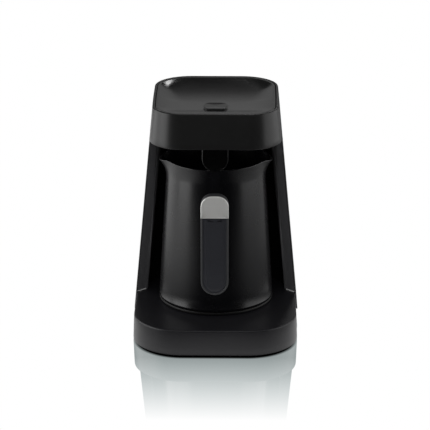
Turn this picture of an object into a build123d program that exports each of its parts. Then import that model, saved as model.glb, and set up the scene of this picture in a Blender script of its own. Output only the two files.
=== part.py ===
from build123d import *
import os
from math import atan, cos, degrees, exp, radians, sin

# Electric Turkish coffee maker.  Millimetres, +Z up, front faces -Y, +X is the user's right.
# Origin: centre of the bounding box on the plane that the rubber feet stand on.

os.makedirs("parts", exist_ok=True)

# ---- driving dimensions -------------------------------------------------------------------
base_half_width = 80.0        # half width of the base at its deck
base_front_y = -100.0         # foot of the base's front face
base_top_z = 26.9             # the deck that the jug slides over
base_bottom_z = 1.5           # the gap that the feet leave
base_front_r = 50.0           # plan radius of the front corners
base_rear_r = 55.5
base_flare = 0.9              # how much wider the base is at its foot
base_wall = 2.5
base_edge_r = 1.4             # round edge of the deck
base_ledge = 2.0              # step inside the wall that the base plate closes against
base_plate_thick = 2.4

form_half_width = 83.5        # half width of the housing's form, measured at z = 0
form_back_y = 100.86          # back of that form at z = 0
form_rear_r = 58.7            # plan radius of its rear corners at z = 0
form_draft = 0.0952           # every side leans in by this much per millimetre of height
housing_wall = 2.2
housing_bottom_z = 9.0        # the skirt that overlaps the base
housing_top_z = 225.0         # the seam under the head's rim
wing_front_y = 4.8            # front edge of both wings

bay_half_width = 69.4         # inside of the bay at the deck, behind the wings' bands
bay_front_y = 15.0            # where each 45 degree band meets the bay's side
bay_back_y = 62.0             # back wall of the bay at the deck
bay_rear_r = 46.0
liner_wall = 2.0

head_front_y = -65.5          # foot of the head's front face
head_bottom_z = 198.6
head_top_z = 232.9
head_front_r = 33.5
head_front_inset = 1.2        # the head is this much narrower than the housing at its front
head_wall = 2.6
head_edge_r = 1.2
rim_width = 3.0               # raised rim round the top panel
panel_drop = 0.4              # the panel's edge lies this far below the rim
panel_thick = 3.8
dish_depth = 2.3
dish_radius = 650.0
dish_y = 10.0

button_size = 22.0
button_r = 5.0
button_y = -27.5
button_gap = 0.35
button_stand = 1.8            # how far the button stands above the lowest point of the dish

nose_half_width = 12.5        # the tongue under the head that holds the foam sensor
nose_front_y = -62.0
nose_back_y = -22.0
nose_bottom_z = 176.0
nose_top_z = 206.0
nose_wall = 1.8
lens_y = -42.0
lens_r = 4.0

jug_y = -4.4                  # axis of the jug
jug_foot_r = 57.0
jug_neck_r = 48.7
jug_rim_r = 49.5
jug_neck_z = 160.0
jug_rim_z = 174.4
jug_wall = 1.2
jug_corner_r = 2.5
spout_reach = 9.8             # how far each spout would stand out of an uncut rim
spout_half_angle = 15.0       # degrees round the jug
spout_height = 24.0
spout_fall = 20.0             # degrees by which each spout's lip falls outwards
ring_height = 2.4             # slim ring round the jug's foot
ring_gap = 0.6                # shadow line between that ring and the jug's wall
plate_top_z = 27.7            # the jug rests on the heating plate
plate_bottom_z = 22.7
plate_r = 46.0

handle_front_y = -97.5
handle_width = 26.4
handle_bottom_z = 63.4
handle_top_z = 162.7
handle_thickness = 11.5
handle_arch_r = 10.5          # corners of the flattened arch on top
handle_edge_r = 1.5
arm_width = 21.0
arm_top_z = 148.0             # where the arm meets the jug
arm_bottom_z = 129.0
arm_shoulder_r = 5.0
accent_bottom_z = 140.9       # lower edge of the brushed cap
accent_thick = 1.8
grip_frame = 1.9              # width of the frame round the grip pad
grip_depth = 2.2
grip_gap = 0.12
grip_sink = 0.3               # the pad lies this far below its frame

foot_r = 7.0
foot_height = 2.7
foot_inset_x = 58.0
foot_front_y = -72.0
foot_rear_y = 66.0

gland_z = 42.0
gland_bore_r = 3.4            # takes a round mains lead of 6.5 mm
gland_neck_r = 7.0
gland_neck_length = 14.4
gland_flange_r = 9.5
gland_flange_thick = 1.8

screw_pilot_r = 1.5           # holes that the self-tapping screws cut into
screw_clear_r = 1.8           # holes that they pass through
screw_head_clear_r = 3.3

draft_angle = degrees(atan(form_draft))
floor_gap = 0.2               # between pieces stacked on each other
nest_gap = 0.3                # between mouldings that nest
far = 140.0                   # a cutter this long runs past every side


# ---- shared forms ---------------------------------------------------------------------------
def block(x0, x1, y0, y1, z0, z1):
    """A plain box between two corners."""
    return Pos((x0 + x1) / 2, (y0 + y1) / 2, (z0 + z1) / 2) * Box(x1 - x0, y1 - y0, z1 - z0)


def rod(x, y, z0, z1, radius):
    """An upright cylinder between two heights."""
    return Pos(x, y, (z0 + z1) / 2) * Cylinder(radius, z1 - z0)


def level_rod(x, y, z, radius, length):
    """A cylinder along Y, centred on a point."""
    return Pos(x, y, z) * Rot(90, 0, 0) * Cylinder(radius, length)


def half_width(z, inset=0.0):
    return form_half_width - form_draft * z - inset


def back_y(z, inset=0.0):
    return form_back_y - form_draft * z - inset


def plan(points, radii, z):
    """A closed plan at height z; each corner has its own radius, 0 for a sharp one."""
    face = make_face(Polyline(*points, close=True))
    for (x, y), radius in zip(points, radii):
        if radius > 0:
            corner = face.vertices().sort_by_distance((x, y, 0))[0]
            face = fillet(corner, radius)
    return Pos(0, 0, z) * face


def form(z0, z1, inset, front_y, front_inset=0.0, front_r=0.0):
    """The drafted form that housing and head share, between two heights."""
    wide = half_width(z0, inset)
    narrow = wide - front_inset
    back = back_y(z0, inset)
    rear_r = form_rear_r - form_draft * z0 - inset
    points = [(-narrow, front_y), (narrow, front_y), (wide, wing_front_y),
              (wide, back), (-wide, back), (-wide, wing_front_y)]
    if front_inset == 0:
        points = [points[0], points[1], points[3], points[4]]
        radii = [front_r, front_r, rear_r, rear_r]
    else:
        radii = [front_r, front_r, 0, rear_r, rear_r, 0]
    return extrude(plan(points, radii, z0), z1 - z0, taper=draft_angle)


def head_form(z0, z1, inset):
    """The head's outer form, inset by a wall."""
    lean = form_draft * (z0 - head_bottom_z)
    return form(z0, z1, inset, head_front_y + lean + inset, head_front_inset,
                head_front_r - lean - inset)


def bay_form(z0, z1, grow):
    """The hollow of the bay with the flared 45 degree mouth, grown by a wall."""
    ahead = 20.0              # the bands run on this far, to be trimmed at the wings' front
    lean = form_draft * (z0 - base_top_z)
    side, back, rear_r = bay_half_width - lean, bay_back_y - lean, bay_rear_r - lean
    mouth_y = wing_front_y - ahead
    mouth = side + bay_front_y - mouth_y
    points = [(-mouth, mouth_y), (mouth, mouth_y), (side, bay_front_y),
              (side, back), (-side, back), (-side, bay_front_y)]
    face = plan(points, [0, 0, 0, rear_r, rear_r, 0], 0)
    if grow:
        face = offset(face, grow, kind=Kind.INTERSECTION)
    return extrude(Pos(0, 0, z0) * face, z1 - z0, taper=draft_angle)


def screw(x, y, head_z, tip_z, shank_r=1.45, head_r=2.9, head_h=1.6):
    """A pan head screw that points up, its head's face at head_z, with a cross recess."""
    slot_length, slot_width, slot_depth = 3.2, 0.7, 0.7
    body = rod(x, y, head_z, head_z + head_h, head_r) + rod(x, y, head_z, tip_z, shank_r)
    for turn in (0, 90):
        body -= Pos(x, y, head_z) * Rot(0, 0, turn) * Box(slot_length, slot_width, 2 * slot_depth)
    return body


# ---- base -----------------------------------------------------------------------------------
base_screw_places = [(x, y) for x in (-60.0, 60.0) for y in (-44.0, 42.0)]
base_boss_r = 4.0
carrier_ring_r = 52.0         # circle of the three screws that hold the plate's carrier
carrier_screw_places = [(carrier_ring_r * cos(radians(a)), jug_y + carrier_ring_r * sin(radians(a)))
                        for a in (30, 150, 270)]
carrier_boss_r = 3.6
carrier_top_z = 18.0
lead_passage = (-26.0, 26.0, 71.0, 86.0)      # the leads go up behind the bay here
vent_count = 7
vent_pitch = 6.0
vent_length = 34.0
vent_width = 2.2


def base_outline(z0, z1, inset):
    flare_angle = degrees(atan(base_flare / (base_top_z - base_bottom_z)))
    wide = base_half_width + base_flare - inset
    back = back_y(z0, housing_wall + nest_gap) - inset
    points = [(-wide, base_front_y + inset), (wide, base_front_y + inset), (wide, back), (-wide, back)]
    radii = [base_front_r - inset, base_front_r - inset, base_rear_r - inset, base_rear_r - inset]
    return extrude(plan(points, radii, z0), z1 - z0, taper=flare_angle)


def base_tray():
    roof_z = base_top_z - base_wall
    plate_seat_z = base_bottom_z + base_plate_thick + floor_gap
    body = base_outline(base_bottom_z, base_top_z, 0.0)
    body = fillet(body.edges().group_by(Axis.Z)[-1], base_edge_r)
    # rebate that the housing's skirt drops into
    skirt_zone = block(-far, far, wing_front_y - nest_gap, far, housing_bottom_z - floor_gap, base_top_z + 10)
    body -= skirt_zone - form(housing_bottom_z - 1, base_top_z + 15, housing_wall + nest_gap, -far)
    body -= base_outline(base_bottom_z - 1, roof_z, base_wall + base_ledge)
    body -= base_outline(base_bottom_z - 1, plate_seat_z, base_wall)
    for x, y in base_screw_places:
        body += rod(x, y, plate_seat_z + floor_gap, roof_z + 0.1, base_boss_r)
        body -= rod(x, y, 0, carrier_top_z, screw_pilot_r)
    for x, y in carrier_screw_places:
        body += rod(x, y, carrier_top_z + floor_gap, roof_z + 0.1, carrier_boss_r)
        body -= rod(x, y, 10, roof_z + 1, screw_pilot_r - 0.2)
    body -= rod(0, jug_y, 0, far, plate_r + 1.6)
    for x, y in housing_screw_places:
        body -= rod(x, y, 20, 30, screw_clear_r)
    x0, x1, y0, y1 = lead_passage
    return body - block(x0, x1, y0, y1, roof_z - 4, base_top_z + 4)


def base_plate():
    body = base_outline(base_bottom_z, base_bottom_z + base_plate_thick, base_wall + 0.25)
    for x, y in base_screw_places:
        body -= rod(x, y, 0, 5, screw_clear_r) + rod(x, y, 0, base_bottom_z + 1.4, screw_head_clear_r)
    for x in (-foot_inset_x, foot_inset_x):
        for y in (foot_front_y, foot_rear_y):
            body -= rod(x, y, 0, foot_height, foot_r + 0.2)
    for i in range(vent_count):
        y = vent_pitch * (i - (vent_count - 1) / 2)
        body -= Pos(0, y, 0) * extrude(SlotOverall(vent_length, vent_width), 10, both=True)
    return body


def rubber_feet():
    feet = []
    for x in (-foot_inset_x, foot_inset_x):
        for y in (foot_front_y, foot_rear_y):
            foot = rod(x, y, 0, foot_height, foot_r)
            feet.append(chamfer(foot.edges().group_by(Axis.Z)[0], 0.6))
    return feet


def base_screws():
    return [screw(x, y, base_bottom_z - 0.1, 15.0, head_h=1.4) for x, y in base_screw_places]


# ---- heating -----------------------------------------------------------------------------------
element_r = 31.0              # the sheathed element is a ring with a gap at the back
element_tube_r = 3.2
element_z = 19.2
element_gap_angle = 40.0
element_pin_angle = 15.5      # each terminal's angle from +Y
sensor_r = 4.0                # the spring-loaded temperature sensor in the plate's middle
terminal_y = 60.0
terminal_size = (32.0, 12.0, 12.0)
terminal_bottom_z = 6.0
terminal_pitch = 9.5


def heating_plate():
    body = rod(0, jug_y, plate_bottom_z, plate_top_z, plate_r)
    body = chamfer(body.edges().group_by(Axis.Z)[-1], 0.4)
    # a downstand round the element stiffens the casting
    body += rod(0, jug_y, 20.6, plate_bottom_z + 0.1, plate_r - 5.0) - rod(0, jug_y, 20, 23, element_r + 5.0)
    return body - rod(0, jug_y, 20, 30, sensor_r + 0.2)


def plate_seal():
    return rod(0, jug_y, 24.6, 27.3, plate_r + 1.4) - rod(0, jug_y, 20, 30, plate_r + 0.2)


def plate_carrier():
    body = rod(0, jug_y, carrier_top_z - 1.4, carrier_top_z, plate_r + 9.0)
    body -= rod(0, jug_y, 10, 20, element_r + 6.0)
    body += rod(0, jug_y, carrier_top_z - 0.1, plate_bottom_z - 0.2, plate_r - 1.0) \
        - rod(0, jug_y, 10, 30, plate_r - 3.0)
    for x, y in carrier_screw_places:
        body -= rod(x, y, 10, 20, screw_clear_r - 0.2)
    return body


def carrier_screws():
    head_z = carrier_top_z - 1.4 - 1.7
    return [screw(x, y, head_z, 24.8, shank_r=1.25, head_r=2.6) for x, y in carrier_screw_places]


def heater_element():
    sweep_angle = 360.0 - element_gap_angle
    ring = revolve(Plane.XZ * Pos(element_r, element_z) * Circle(element_tube_r), Axis.Z, sweep_angle)
    return Pos(0, jug_y, 0) * Rot(0, 0, 90.0 + element_gap_angle / 2) * ring


def element_terminals():
    pins = []
    for side in (-1, 1):
        a = radians(90.0 + side * element_pin_angle)
        x, y = element_r * cos(a), jug_y + element_r * sin(a)
        pins.append(rod(x, y, 11.0, 20.0, 1.6) + rod(x, y, 19.0, 21.5, 2.2))
    return pins


def temperature_sensor():
    body = rod(0, jug_y, 14.0, plate_top_z - 0.2, sensor_r)
    body = fillet(body.edges().group_by(Axis.Z)[-1], 0.8)
    return body + rod(0, jug_y, 14.0, 19.8, sensor_r + 2.5)


def thermostat():
    x, y = 17.0, jug_y - 4.0
    return rod(x, y, 12.0, plate_bottom_z - 0.2, 7.5) + block(x - 2, x + 2, y - 11, y + 11, 12.4, 13.4)


def thermal_fuse():
    x, z = -17.0, 20.6
    return level_rod(x, jug_y, z, 1.9, 14.0) + level_rod(x, jug_y, z, 0.6, 26.0)


def terminal_block():
    length, depth, height = terminal_size
    top_z = terminal_bottom_z + height
    front_y = terminal_y - depth / 2
    body = block(-length / 2, length / 2, front_y, front_y + depth, terminal_bottom_z, top_z)
    for i in (-1, 0, 1):
        x = terminal_pitch * i
        body -= rod(x, terminal_y, top_z - 6.0, top_z + 2.0, 2.4)
        body -= level_rod(x, terminal_y, terminal_bottom_z + 4.0, 1.6, 20.0)
    return body


# ---- housing -----------------------------------------------------------------------------------
board_y = 73.0                # front face of the upright power board
board_thick = 1.6
board_half_width = 32.0
board_bottom_z = 62.0
board_top_z = 150.0
board_screw_places = [(x, z) for x in (-28.0, 28.0) for z in (66.0, 146.0)]
board_post_r = 3.2
housing_screw_places = [(-56.5, 73.5), (56.5, 73.5)]
housing_boss_r = 9.0
housing_boss_top_z = 46.0
slot_count = 6                # ventilation slots high in the back
slot_bottom_z = 168.0
slot_pitch = 6.0
slot_length = 52.0
slot_width = 2.4


def rear_housing():
    body = form(housing_bottom_z, housing_top_z, 0.0, wing_front_y - 30)
    body -= form(housing_bottom_z - 1, housing_top_z + 8, housing_wall, wing_front_y - 40)
    body -= block(-far, far, -far, wing_front_y, 0, housing_top_z + 10)
    body -= level_rod(0, back_y(gland_z), gland_z, gland_neck_r + 0.2, 20)
    for i in range(slot_count):
        z = slot_bottom_z + slot_pitch * i
        slot = extrude(SlotOverall(slot_length, slot_width), 12, both=True)
        body -= Pos(0, back_y(z), z) * Rot(90, 0, 0) * slot
    for x, y in housing_screw_places:
        boss = rod(x, y, base_top_z + floor_gap, housing_boss_top_z, housing_boss_r)
        body += boss & form(housing_bottom_z, housing_boss_top_z + 10, housing_wall / 2, wing_front_y - 30)
        body -= rod(x, y, 20, housing_boss_top_z - 4, screw_pilot_r)
    for x, z in board_screw_places:
        wall, board_back = back_y(z, housing_wall / 2), board_y + board_thick
        body += level_rod(x, (board_back + wall) / 2, z, board_post_r, wall - board_back)
        body -= level_rod(x, board_y, z, screw_pilot_r - 0.2, 20)
    return body


def housing_screws():
    head_z = base_top_z - base_wall - 1.6
    return [screw(x, y, head_z, housing_boss_top_z - 6) for x, y in housing_screw_places]


def bay_liner():
    z0 = base_top_z + floor_gap
    z1 = head_bottom_z - floor_gap
    body = bay_form(z0, z1, liner_wall) - bay_form(z0 - 1, z1 + 1, 0.0)
    body -= block(-far, far, -far, wing_front_y + 0.4, 0, head_top_z)
    return body & form(z0, z1, housing_wall + nest_gap, wing_front_y - 60)


gland_outside_y = back_y(gland_z - gland_flange_r) + floor_gap


def cord_gland():
    flange_y = gland_outside_y + gland_flange_thick / 2
    flange = level_rod(0, flange_y, gland_z, gland_flange_r, gland_flange_thick)
    flange = fillet(flange.edges().group_by(Axis.Y)[-1], 0.8)
    neck_y = gland_outside_y + 0.2 - gland_neck_length / 2
    neck = level_rod(0, neck_y, gland_z, gland_neck_r, gland_neck_length)
    return flange + neck - level_rod(0, gland_outside_y, gland_z, gland_bore_r, 60)


def gland_nut():
    nut_r, nut_thick = 11.0, 4.0
    inside = back_y(gland_z + nut_r + 1, housing_wall) - 0.4
    nut = Pos(0, inside, gland_z) * extrude(Plane.XZ * RegularPolygon(nut_r, 6), nut_thick)
    return nut - level_rod(0, inside, gland_z, gland_neck_r + 0.1, 30)


# ---- electronics in the back ---------------------------------------------------------------------
board_back_y = board_y + board_thick


def power_board():
    body = block(-board_half_width, board_half_width, board_y, board_back_y, board_bottom_z, board_top_z)
    for x, z in board_screw_places:
        body -= level_rod(x, board_y, z, screw_clear_r - 0.1, 10)
    return body


def board_screws():
    head_h, shank = 1.6, 8.6
    return [level_rod(x, board_y - head_h / 2, z, 2.6, head_h)
            + level_rod(x, board_y + shank / 2 - 0.8, z, 1.25, shank) for x, z in board_screw_places]


def relay():
    return block(-26, -10, board_back_y, board_back_y + 11, 70, 90)


def transformer():
    core = block(2, 24, board_back_y + 2, board_back_y + 11, 68, 88)
    return core + block(6, 20, board_back_y, board_back_y + 12.2, 71, 85)


def capacitor():
    return [rod(-18, board_back_y + 5.2, 98, 118, 5.0), rod(-4, board_back_y + 4.2, 100, 114, 4.0)]


def heatsink():
    low_x, high_x, low_z, high_z = 8.0, 26.0, 98.0, 128.0
    fin_count, fin_pitch, fin_thick = 5, 4.2, 1.2
    body = block(low_x, high_x, board_back_y, board_back_y + 2.0, low_z, high_z)
    for i in range(fin_count):
        x = low_x + fin_pitch * i
        body += block(x, x + fin_thick, board_back_y + 1.9, board_back_y + 10.0, low_z, high_z)
    return body


def tube(points, radii, tube_r):
    """A wire of round section along straight runs joined by arcs."""
    path = FilletPolyline(*points, radius=radii)
    start = Plane(origin=path @ 0, z_dir=path % 0)
    return sweep(start * Circle(tube_r), path)


def wire_loom():
    """Three leads from the power board up and forward into the head."""
    wires = []
    for i in (-1, 0, 1):
        x, start_y = 4.0 * i, board_y + 4.0
        path = [(x, start_y, board_top_z + 2.0), (x, start_y, 205.0), (x, 20.0, 214.0), (x, -8.0, 214.0)]
        wires.append(tube(path, [10.0, 20.0], 1.0))
    return wires


def heater_leads():
    """Two leads from the element's pins back to the terminal block."""
    wires = []
    for side in (-1, 1):
        a = radians(element_pin_angle)
        x, end_x = side * element_r * sin(a), side * terminal_pitch
        start_y, end_y = jug_y + element_r * cos(a) + 1.7, terminal_y - terminal_size[1] / 2 - 0.5
        wires.append(tube([(x, start_y, 12.5), (x, 40.0, 12.5), (end_x, 50.0, 10.0), (end_x, end_y, 10.0)],
                          [8.0, 3.0], 1.2))
    return wires


# ---- head ------------------------------------------------------------------------------------------
head_screw_places = [(-56.8, -34.0), (56.8, -34.0), (-56.8, -6.0), (56.8, -6.0)]
head_boss_r = 3.6
panel_bottom_z = head_top_z - panel_drop - panel_thick
panel_ledge = 2.0             # shelf inside the rim that carries the panel
control_screw_places = [(x, y) for x in (-30.0, 30.0) for y in (button_y - 12.0, button_y + 22.0)]
dish_bottom_z = head_top_z - panel_drop - dish_depth
button_top_z = dish_bottom_z + button_stand
button_collar = 2.0
plunger_top_z = button_top_z - 6.6
control_board_top_z = plunger_top_z - 4.0


def head_shell():
    body = head_form(head_bottom_z, head_top_z, 0.0)
    body = fillet(body.edges().group_by(Axis.Z)[-1], head_edge_r)
    body -= head_form(head_bottom_z - 1, panel_bottom_z - 2.0, head_wall)
    body -= head_form(panel_bottom_z - 3.0, head_top_z + 2, rim_width + panel_ledge)
    body -= head_form(panel_bottom_z, head_top_z + 2, rim_width)
    body -= block(-far, far, wing_front_y - 0.2, far, 150, housing_top_z + 0.3)
    for x, y in head_screw_places:
        body += rod(x, y, head_bottom_z + 3.0, panel_bottom_z - 2.5, head_boss_r)
        body -= rod(x, y, 190, 214, screw_pilot_r)
    return body


def top_panel():
    body = head_form(panel_bottom_z, head_top_z - panel_drop, rim_width + 0.25)
    body -= Pos(0, dish_y, dish_bottom_z + dish_radius) * Sphere(dish_radius)
    size = button_size + 2 * button_gap
    body -= Pos(0, button_y, 200) * extrude(RectangleRounded(size, size, button_r + button_gap), 60)
    for x, y in control_screw_places:
        body += rod(x, y, control_board_top_z, panel_bottom_z + 0.5, 3.0)
        body -= rod(x, y, 200, panel_bottom_z - 0.5, screw_pilot_r - 0.2)
    return body


def button_cap():
    collar_top = panel_bottom_z - 0.1
    collar_size, hollow = button_size + 2 * button_collar, button_size - 5.0
    face = RectangleRounded(button_size, button_size, button_r)
    cap = Pos(0, button_y, collar_top - 1.0) * extrude(face, button_top_z - collar_top + 1.0)
    cap = fillet(cap.edges().group_by(Axis.Z)[-1], 0.6)
    collar = RectangleRounded(collar_size, collar_size, button_r + 1.5)
    cap += Pos(0, button_y, collar_top - 2.0) * extrude(collar, 2.0)
    cap -= Pos(0, button_y, collar_top - 3.0) * extrude(RectangleRounded(hollow, hollow, button_r - 2.0), 4.0)
    return cap + rod(0, button_y, plunger_top_z, button_top_z - 1.9, 2.6)


def switch_plunger():
    return rod(0, button_y, plunger_top_z - 1.4, plunger_top_z, 1.7)


def tact_switch():
    half = 3.1
    body = block(-half, half, button_y - half, button_y + half, control_board_top_z, plunger_top_z - 1.2)
    return body - rod(0, button_y, plunger_top_z - 3.2, plunger_top_z, 1.9)


def control_board():
    top = control_board_top_z
    body = block(-34, 34, button_y - 16, button_y + 26, top - board_thick, top)
    for x, y in control_screw_places:
        body -= rod(x, y, top - 4, top + 4, screw_clear_r - 0.1)
    return body


def control_screws():
    head_z = control_board_top_z - board_thick - 1.4
    return [screw(x, y, head_z, panel_bottom_z - 1.0, 1.25, 2.5, 1.4) for x, y in control_screw_places]


def light_guide():
    outer, inner = 17.4, 12.0
    ring = RectangleRounded(outer, outer, 3.2) - RectangleRounded(inner, inner, 2.0)
    return Pos(0, button_y, control_board_top_z + 0.1) * extrude(ring, 3.2)


def buzzer():
    x, y, low = 20.0, button_y + 14.0, control_board_top_z
    return rod(x, y, low, low + 5.0, 6.0) - rod(x, y, low + 3.8, low + 6.0, 1.0)


def head_floor():
    body = head_form(head_bottom_z + 0.3, head_bottom_z + 2.7, head_wall + nest_gap)
    rear_limit = bay_back_y - form_draft * (head_bottom_z - base_top_z)
    body -= block(-far, far, rear_limit + 6.0, far, 150, 260)
    nose = nose_half_width + 0.2
    body -= block(-nose, nose, nose_front_y - 0.2, nose_back_y + 0.2, 190, 210)
    for x, y in head_screw_places:
        body -= rod(x, y, 190, 210, screw_clear_r) + rod(x, y, 190, head_bottom_z + 1.2, screw_head_clear_r)
    return body


def head_screws():
    return [screw(x, y, head_bottom_z + 0.35, 211.0, head_h=0.8) for x, y in head_screw_places]


def nose_section(grow):
    """Upright tongue with a round lower end, seen from the front."""
    radius = nose_half_width + grow
    arc_z = nose_bottom_z + nose_half_width
    upper = Pos(0, (arc_z + nose_top_z) / 2) * Rectangle(2 * radius, nose_top_z - arc_z)
    return upper + Pos(0, arc_z) * Circle(radius)


def sensor_nose():
    depth = nose_back_y - nose_front_y
    body = Pos(0, nose_back_y, 0) * extrude(Plane.XZ * nose_section(0.0), depth)
    body = fillet(body.faces().sort_by(Axis.Y)[0].edges(), 0.9)
    hollow = extrude(Plane.XZ * nose_section(-nose_wall), depth - 2 * nose_wall)
    body -= Pos(0, nose_back_y - nose_wall, 0) * hollow
    body -= block(-20, 20, nose_front_y + nose_wall, nose_back_y - nose_wall, nose_top_z - 2, nose_top_z + 4)
    return body - rod(0, lens_y, nose_bottom_z - 5, nose_bottom_z + 5, lens_r + 0.2)


def sensor_lens():
    body = rod(0, lens_y, nose_bottom_z + 0.5, nose_bottom_z + 5.0, lens_r)
    return fillet(body.edges().group_by(Axis.Z)[0], 0.8)


def sensor_board():
    """A small board across the tongue with the receiver that looks through the lens."""
    board_z = nose_bottom_z + 7.0
    board = block(-8.9, 8.9, lens_y - 13, lens_y + 13, board_z, board_z + board_thick)
    return board + rod(0, lens_y, nose_bottom_z + 5.1, board_z + 0.1, 2.5)


# ---- jug -------------------------------------------------------------------------------------------
jug_foot_z = plate_top_z + ring_height + ring_gap
jug_split_z = jug_rim_z - spout_height - 6.0      # the plain taper ends and the fine sections begin


def jug_radius(z):
    """Straight taper to the neck, then a gentle flare to the rim."""
    if z <= jug_neck_z:
        return jug_foot_r - (jug_foot_r - jug_neck_r) * (z - jug_foot_z) / (jug_neck_z - jug_foot_z)
    rise = (z - jug_neck_z) / (jug_rim_z - jug_neck_z)
    return jug_neck_r + (jug_rim_r - jug_neck_r) * rise ** 2


def spout_bulge(angle, z):
    """How far the wall stands out of round at an angle from +X, for two opposite spouts."""
    rise = max(0.0, 1.0 - (jug_rim_z - z) / spout_height)
    off_axis = min(abs(angle), abs(abs(angle) - 180.0))
    return spout_reach * rise ** 2.5 * exp(-(off_axis / spout_half_angle) ** 2)


def jug_section(z, inset):
    """A level section of the jug as one closed smooth curve."""
    steps = 48
    points = []
    for i in range(steps):
        angle = -180.0 + 360.0 * i / steps
        radius = jug_radius(z) - inset + spout_bulge(angle, z)
        points.append((radius * cos(radians(angle)), radius * sin(radians(angle)), z))
    return make_face(Spline(*points, periodic=True))


def jug_loft(inset, top_z):
    """The jug's form as one loft: few sections up the straight taper, more where the spouts grow."""
    foot = jug_foot_z + inset
    levels = [foot + (jug_split_z - foot) * i / 5 for i in range(5)]
    levels += [jug_split_z + (top_z - jug_split_z) * i / 6 for i in range(7)]
    return loft([jug_section(z, inset) for z in levels])


def jug_envelope(inset):
    """A round body that only trims the corner at the jug's foot, with two bevels."""
    foot, wide, c = jug_foot_z + inset, jug_foot_r - inset, jug_corner_r
    outside, high = wide + 20.0, jug_rim_z + 5.0
    points = [(0, foot), (wide - 0.85 * c, foot), (wide - 0.25 * c, foot + 0.3 * c),
              (wide + 0.3 * c, foot + 1.5 * c), (outside, foot + 1.5 * c), (outside, high), (0, high)]
    return revolve(make_face(Plane.XZ * Polyline(*points, close=True)), Axis.Z)


def jug_body():
    wall = jug_loft(0.0, jug_rim_z) & jug_envelope(0.0)
    wall -= jug_loft(jug_wall, jug_rim_z + 2.0) & jug_envelope(jug_wall)
    # each spout's lip falls away outside the round rim
    for side in (-1, 1):
        wedge = Pos(side * (jug_rim_r - 1.0), 0, jug_rim_z) * Rot(0, side * spout_fall, 0)
        wall -= wedge * Pos(side * 20.0, 0, 10.0) * Box(40, 60, 20)
    return Pos(0, jug_y, 0) * wall


def jug_base_disc():
    disc = rod(0, jug_y, plate_top_z, jug_foot_z, jug_foot_r - 7.0)
    return chamfer(disc.edges().group_by(Axis.Z)[0], 0.5)


def jug_base_ring():
    low = plate_top_z + floor_gap
    outer = rod(0, jug_y, low, low + ring_height, jug_foot_r - 0.4)
    outer = fillet(outer.edges().group_by(Axis.Z)[0], 0.8)
    return outer - rod(0, jug_y, 0, 60, jug_foot_r - 6.6)


# ---- handle ------------------------------------------------------------------------------------------
handle_half = handle_width / 2
handle_back_y = handle_front_y + handle_thickness


def strap(inset, y0, y1):
    """Part of the strap between two depths: a round lower end and a flattened arch on top."""
    half = handle_half - inset
    height = handle_top_z - handle_bottom_z - 2 * inset
    face = Pos(0, (handle_top_z + handle_bottom_z) / 2) * Rectangle(2 * half, height)
    lower = face.vertices().sort_by(Axis.Y)[:2]
    face = fillet(lower, half - 0.05)
    upper = face.vertices().sort_by(Axis.Y)[-2:]
    face = fillet(upper, handle_arch_r - inset)
    return Pos(0, y1, 0) * extrude(Plane.XZ * face, y1 - y0)


def arm():
    """The arm that falls from the back of the strap's top to the jug's wall."""
    root_y, overlap_y = jug_y - jug_neck_r, handle_back_y - 2.0
    crook_z, web_z, strap_z = arm_bottom_z + 6.0, arm_bottom_z - 8.0, handle_top_z - 0.8
    points = [(overlap_y, strap_z), (handle_back_y, strap_z), (root_y, arm_top_z), (root_y, arm_bottom_z),
              (handle_back_y, crook_z), (handle_back_y, web_z), (overlap_y, web_z)]
    face = make_face(Polyline(*points, close=True))
    face = fillet(face.vertices().sort_by_distance((handle_back_y, crook_z, 0))[0], 9.0)
    body = extrude(Plane.YZ * face, arm_width / 2, both=True)
    upper = body.edges().filter_by(lambda e: abs(e.center().X) > 9 and e.center().Z > arm_top_z
                                   and e.center().Y > handle_back_y)
    return fillet(upper, arm_shoulder_r)


def grip_pocket(gap, sink=0.0):
    """The pocket in the strap's face, or the pad that lies in it with a gap all round."""
    half = handle_half - grip_frame - gap
    low = handle_bottom_z + grip_frame + gap
    high = accent_bottom_z - 0.4 - gap
    face = Pos(0, (low + high) / 2) * Rectangle(2 * half, high - low)
    face = fillet(face.vertices().sort_by(Axis.Y)[:2], half - 0.05)
    return Pos(0, handle_front_y + grip_depth, 0) * extrude(Plane.XZ * face, grip_depth - sink)


def jug_clearance(gap):
    """A plain cone round the jug, for pieces that end at its wall."""
    low, high = jug_foot_z, jug_neck_z + 14.0
    slope = (jug_foot_r - jug_neck_r) / (jug_neck_z - jug_foot_z)
    cone = Cone(jug_foot_r + gap, jug_foot_r + gap - slope * (high - low), high - low)
    return Pos(0, jug_y, (low + high) / 2) * cone


bracket_thick = 2.7
bracket_half_width = 9.0
bracket_half_height = 6.5
bracket_z = (arm_top_z + arm_bottom_z) / 2 - 0.5
handle_screw_places = [(-5.0, bracket_z), (5.0, bracket_z)]
handle_screw_length = 16.0


def bracket_block(gap):
    x, z = bracket_half_width + gap, bracket_half_height + gap
    return block(-x, x, -80, -30, bracket_z - z, bracket_z + z)


def handle_frame():
    body = strap(0.0, handle_front_y, handle_back_y)
    body = fillet(body.edges().filter_by(Plane.XZ).sort_by(Axis.Y)[-8:], handle_edge_r)
    body -= block(-far, far, -far, handle_front_y + accent_thick, accent_bottom_z, far + accent_bottom_z)
    body += arm()
    body -= grip_pocket(0.0)
    body -= jug_clearance(0.4)
    body -= jug_clearance(bracket_thick + nest_gap) & bracket_block(nest_gap)
    for x, z in handle_screw_places:
        body -= level_rod(x, -70, z, screw_pilot_r, 30)
    return body


def handle_accent():
    plate = strap(0.0, handle_front_y, handle_front_y + accent_thick)
    plate &= block(-far, far, -far, 0, accent_bottom_z + 0.05, far + accent_bottom_z)
    return chamfer(plate.edges().filter_by(Plane.XZ).group_by(Axis.Y)[0], 0.4)


def handle_grip():
    return grip_pocket(grip_gap, grip_sink)


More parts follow.
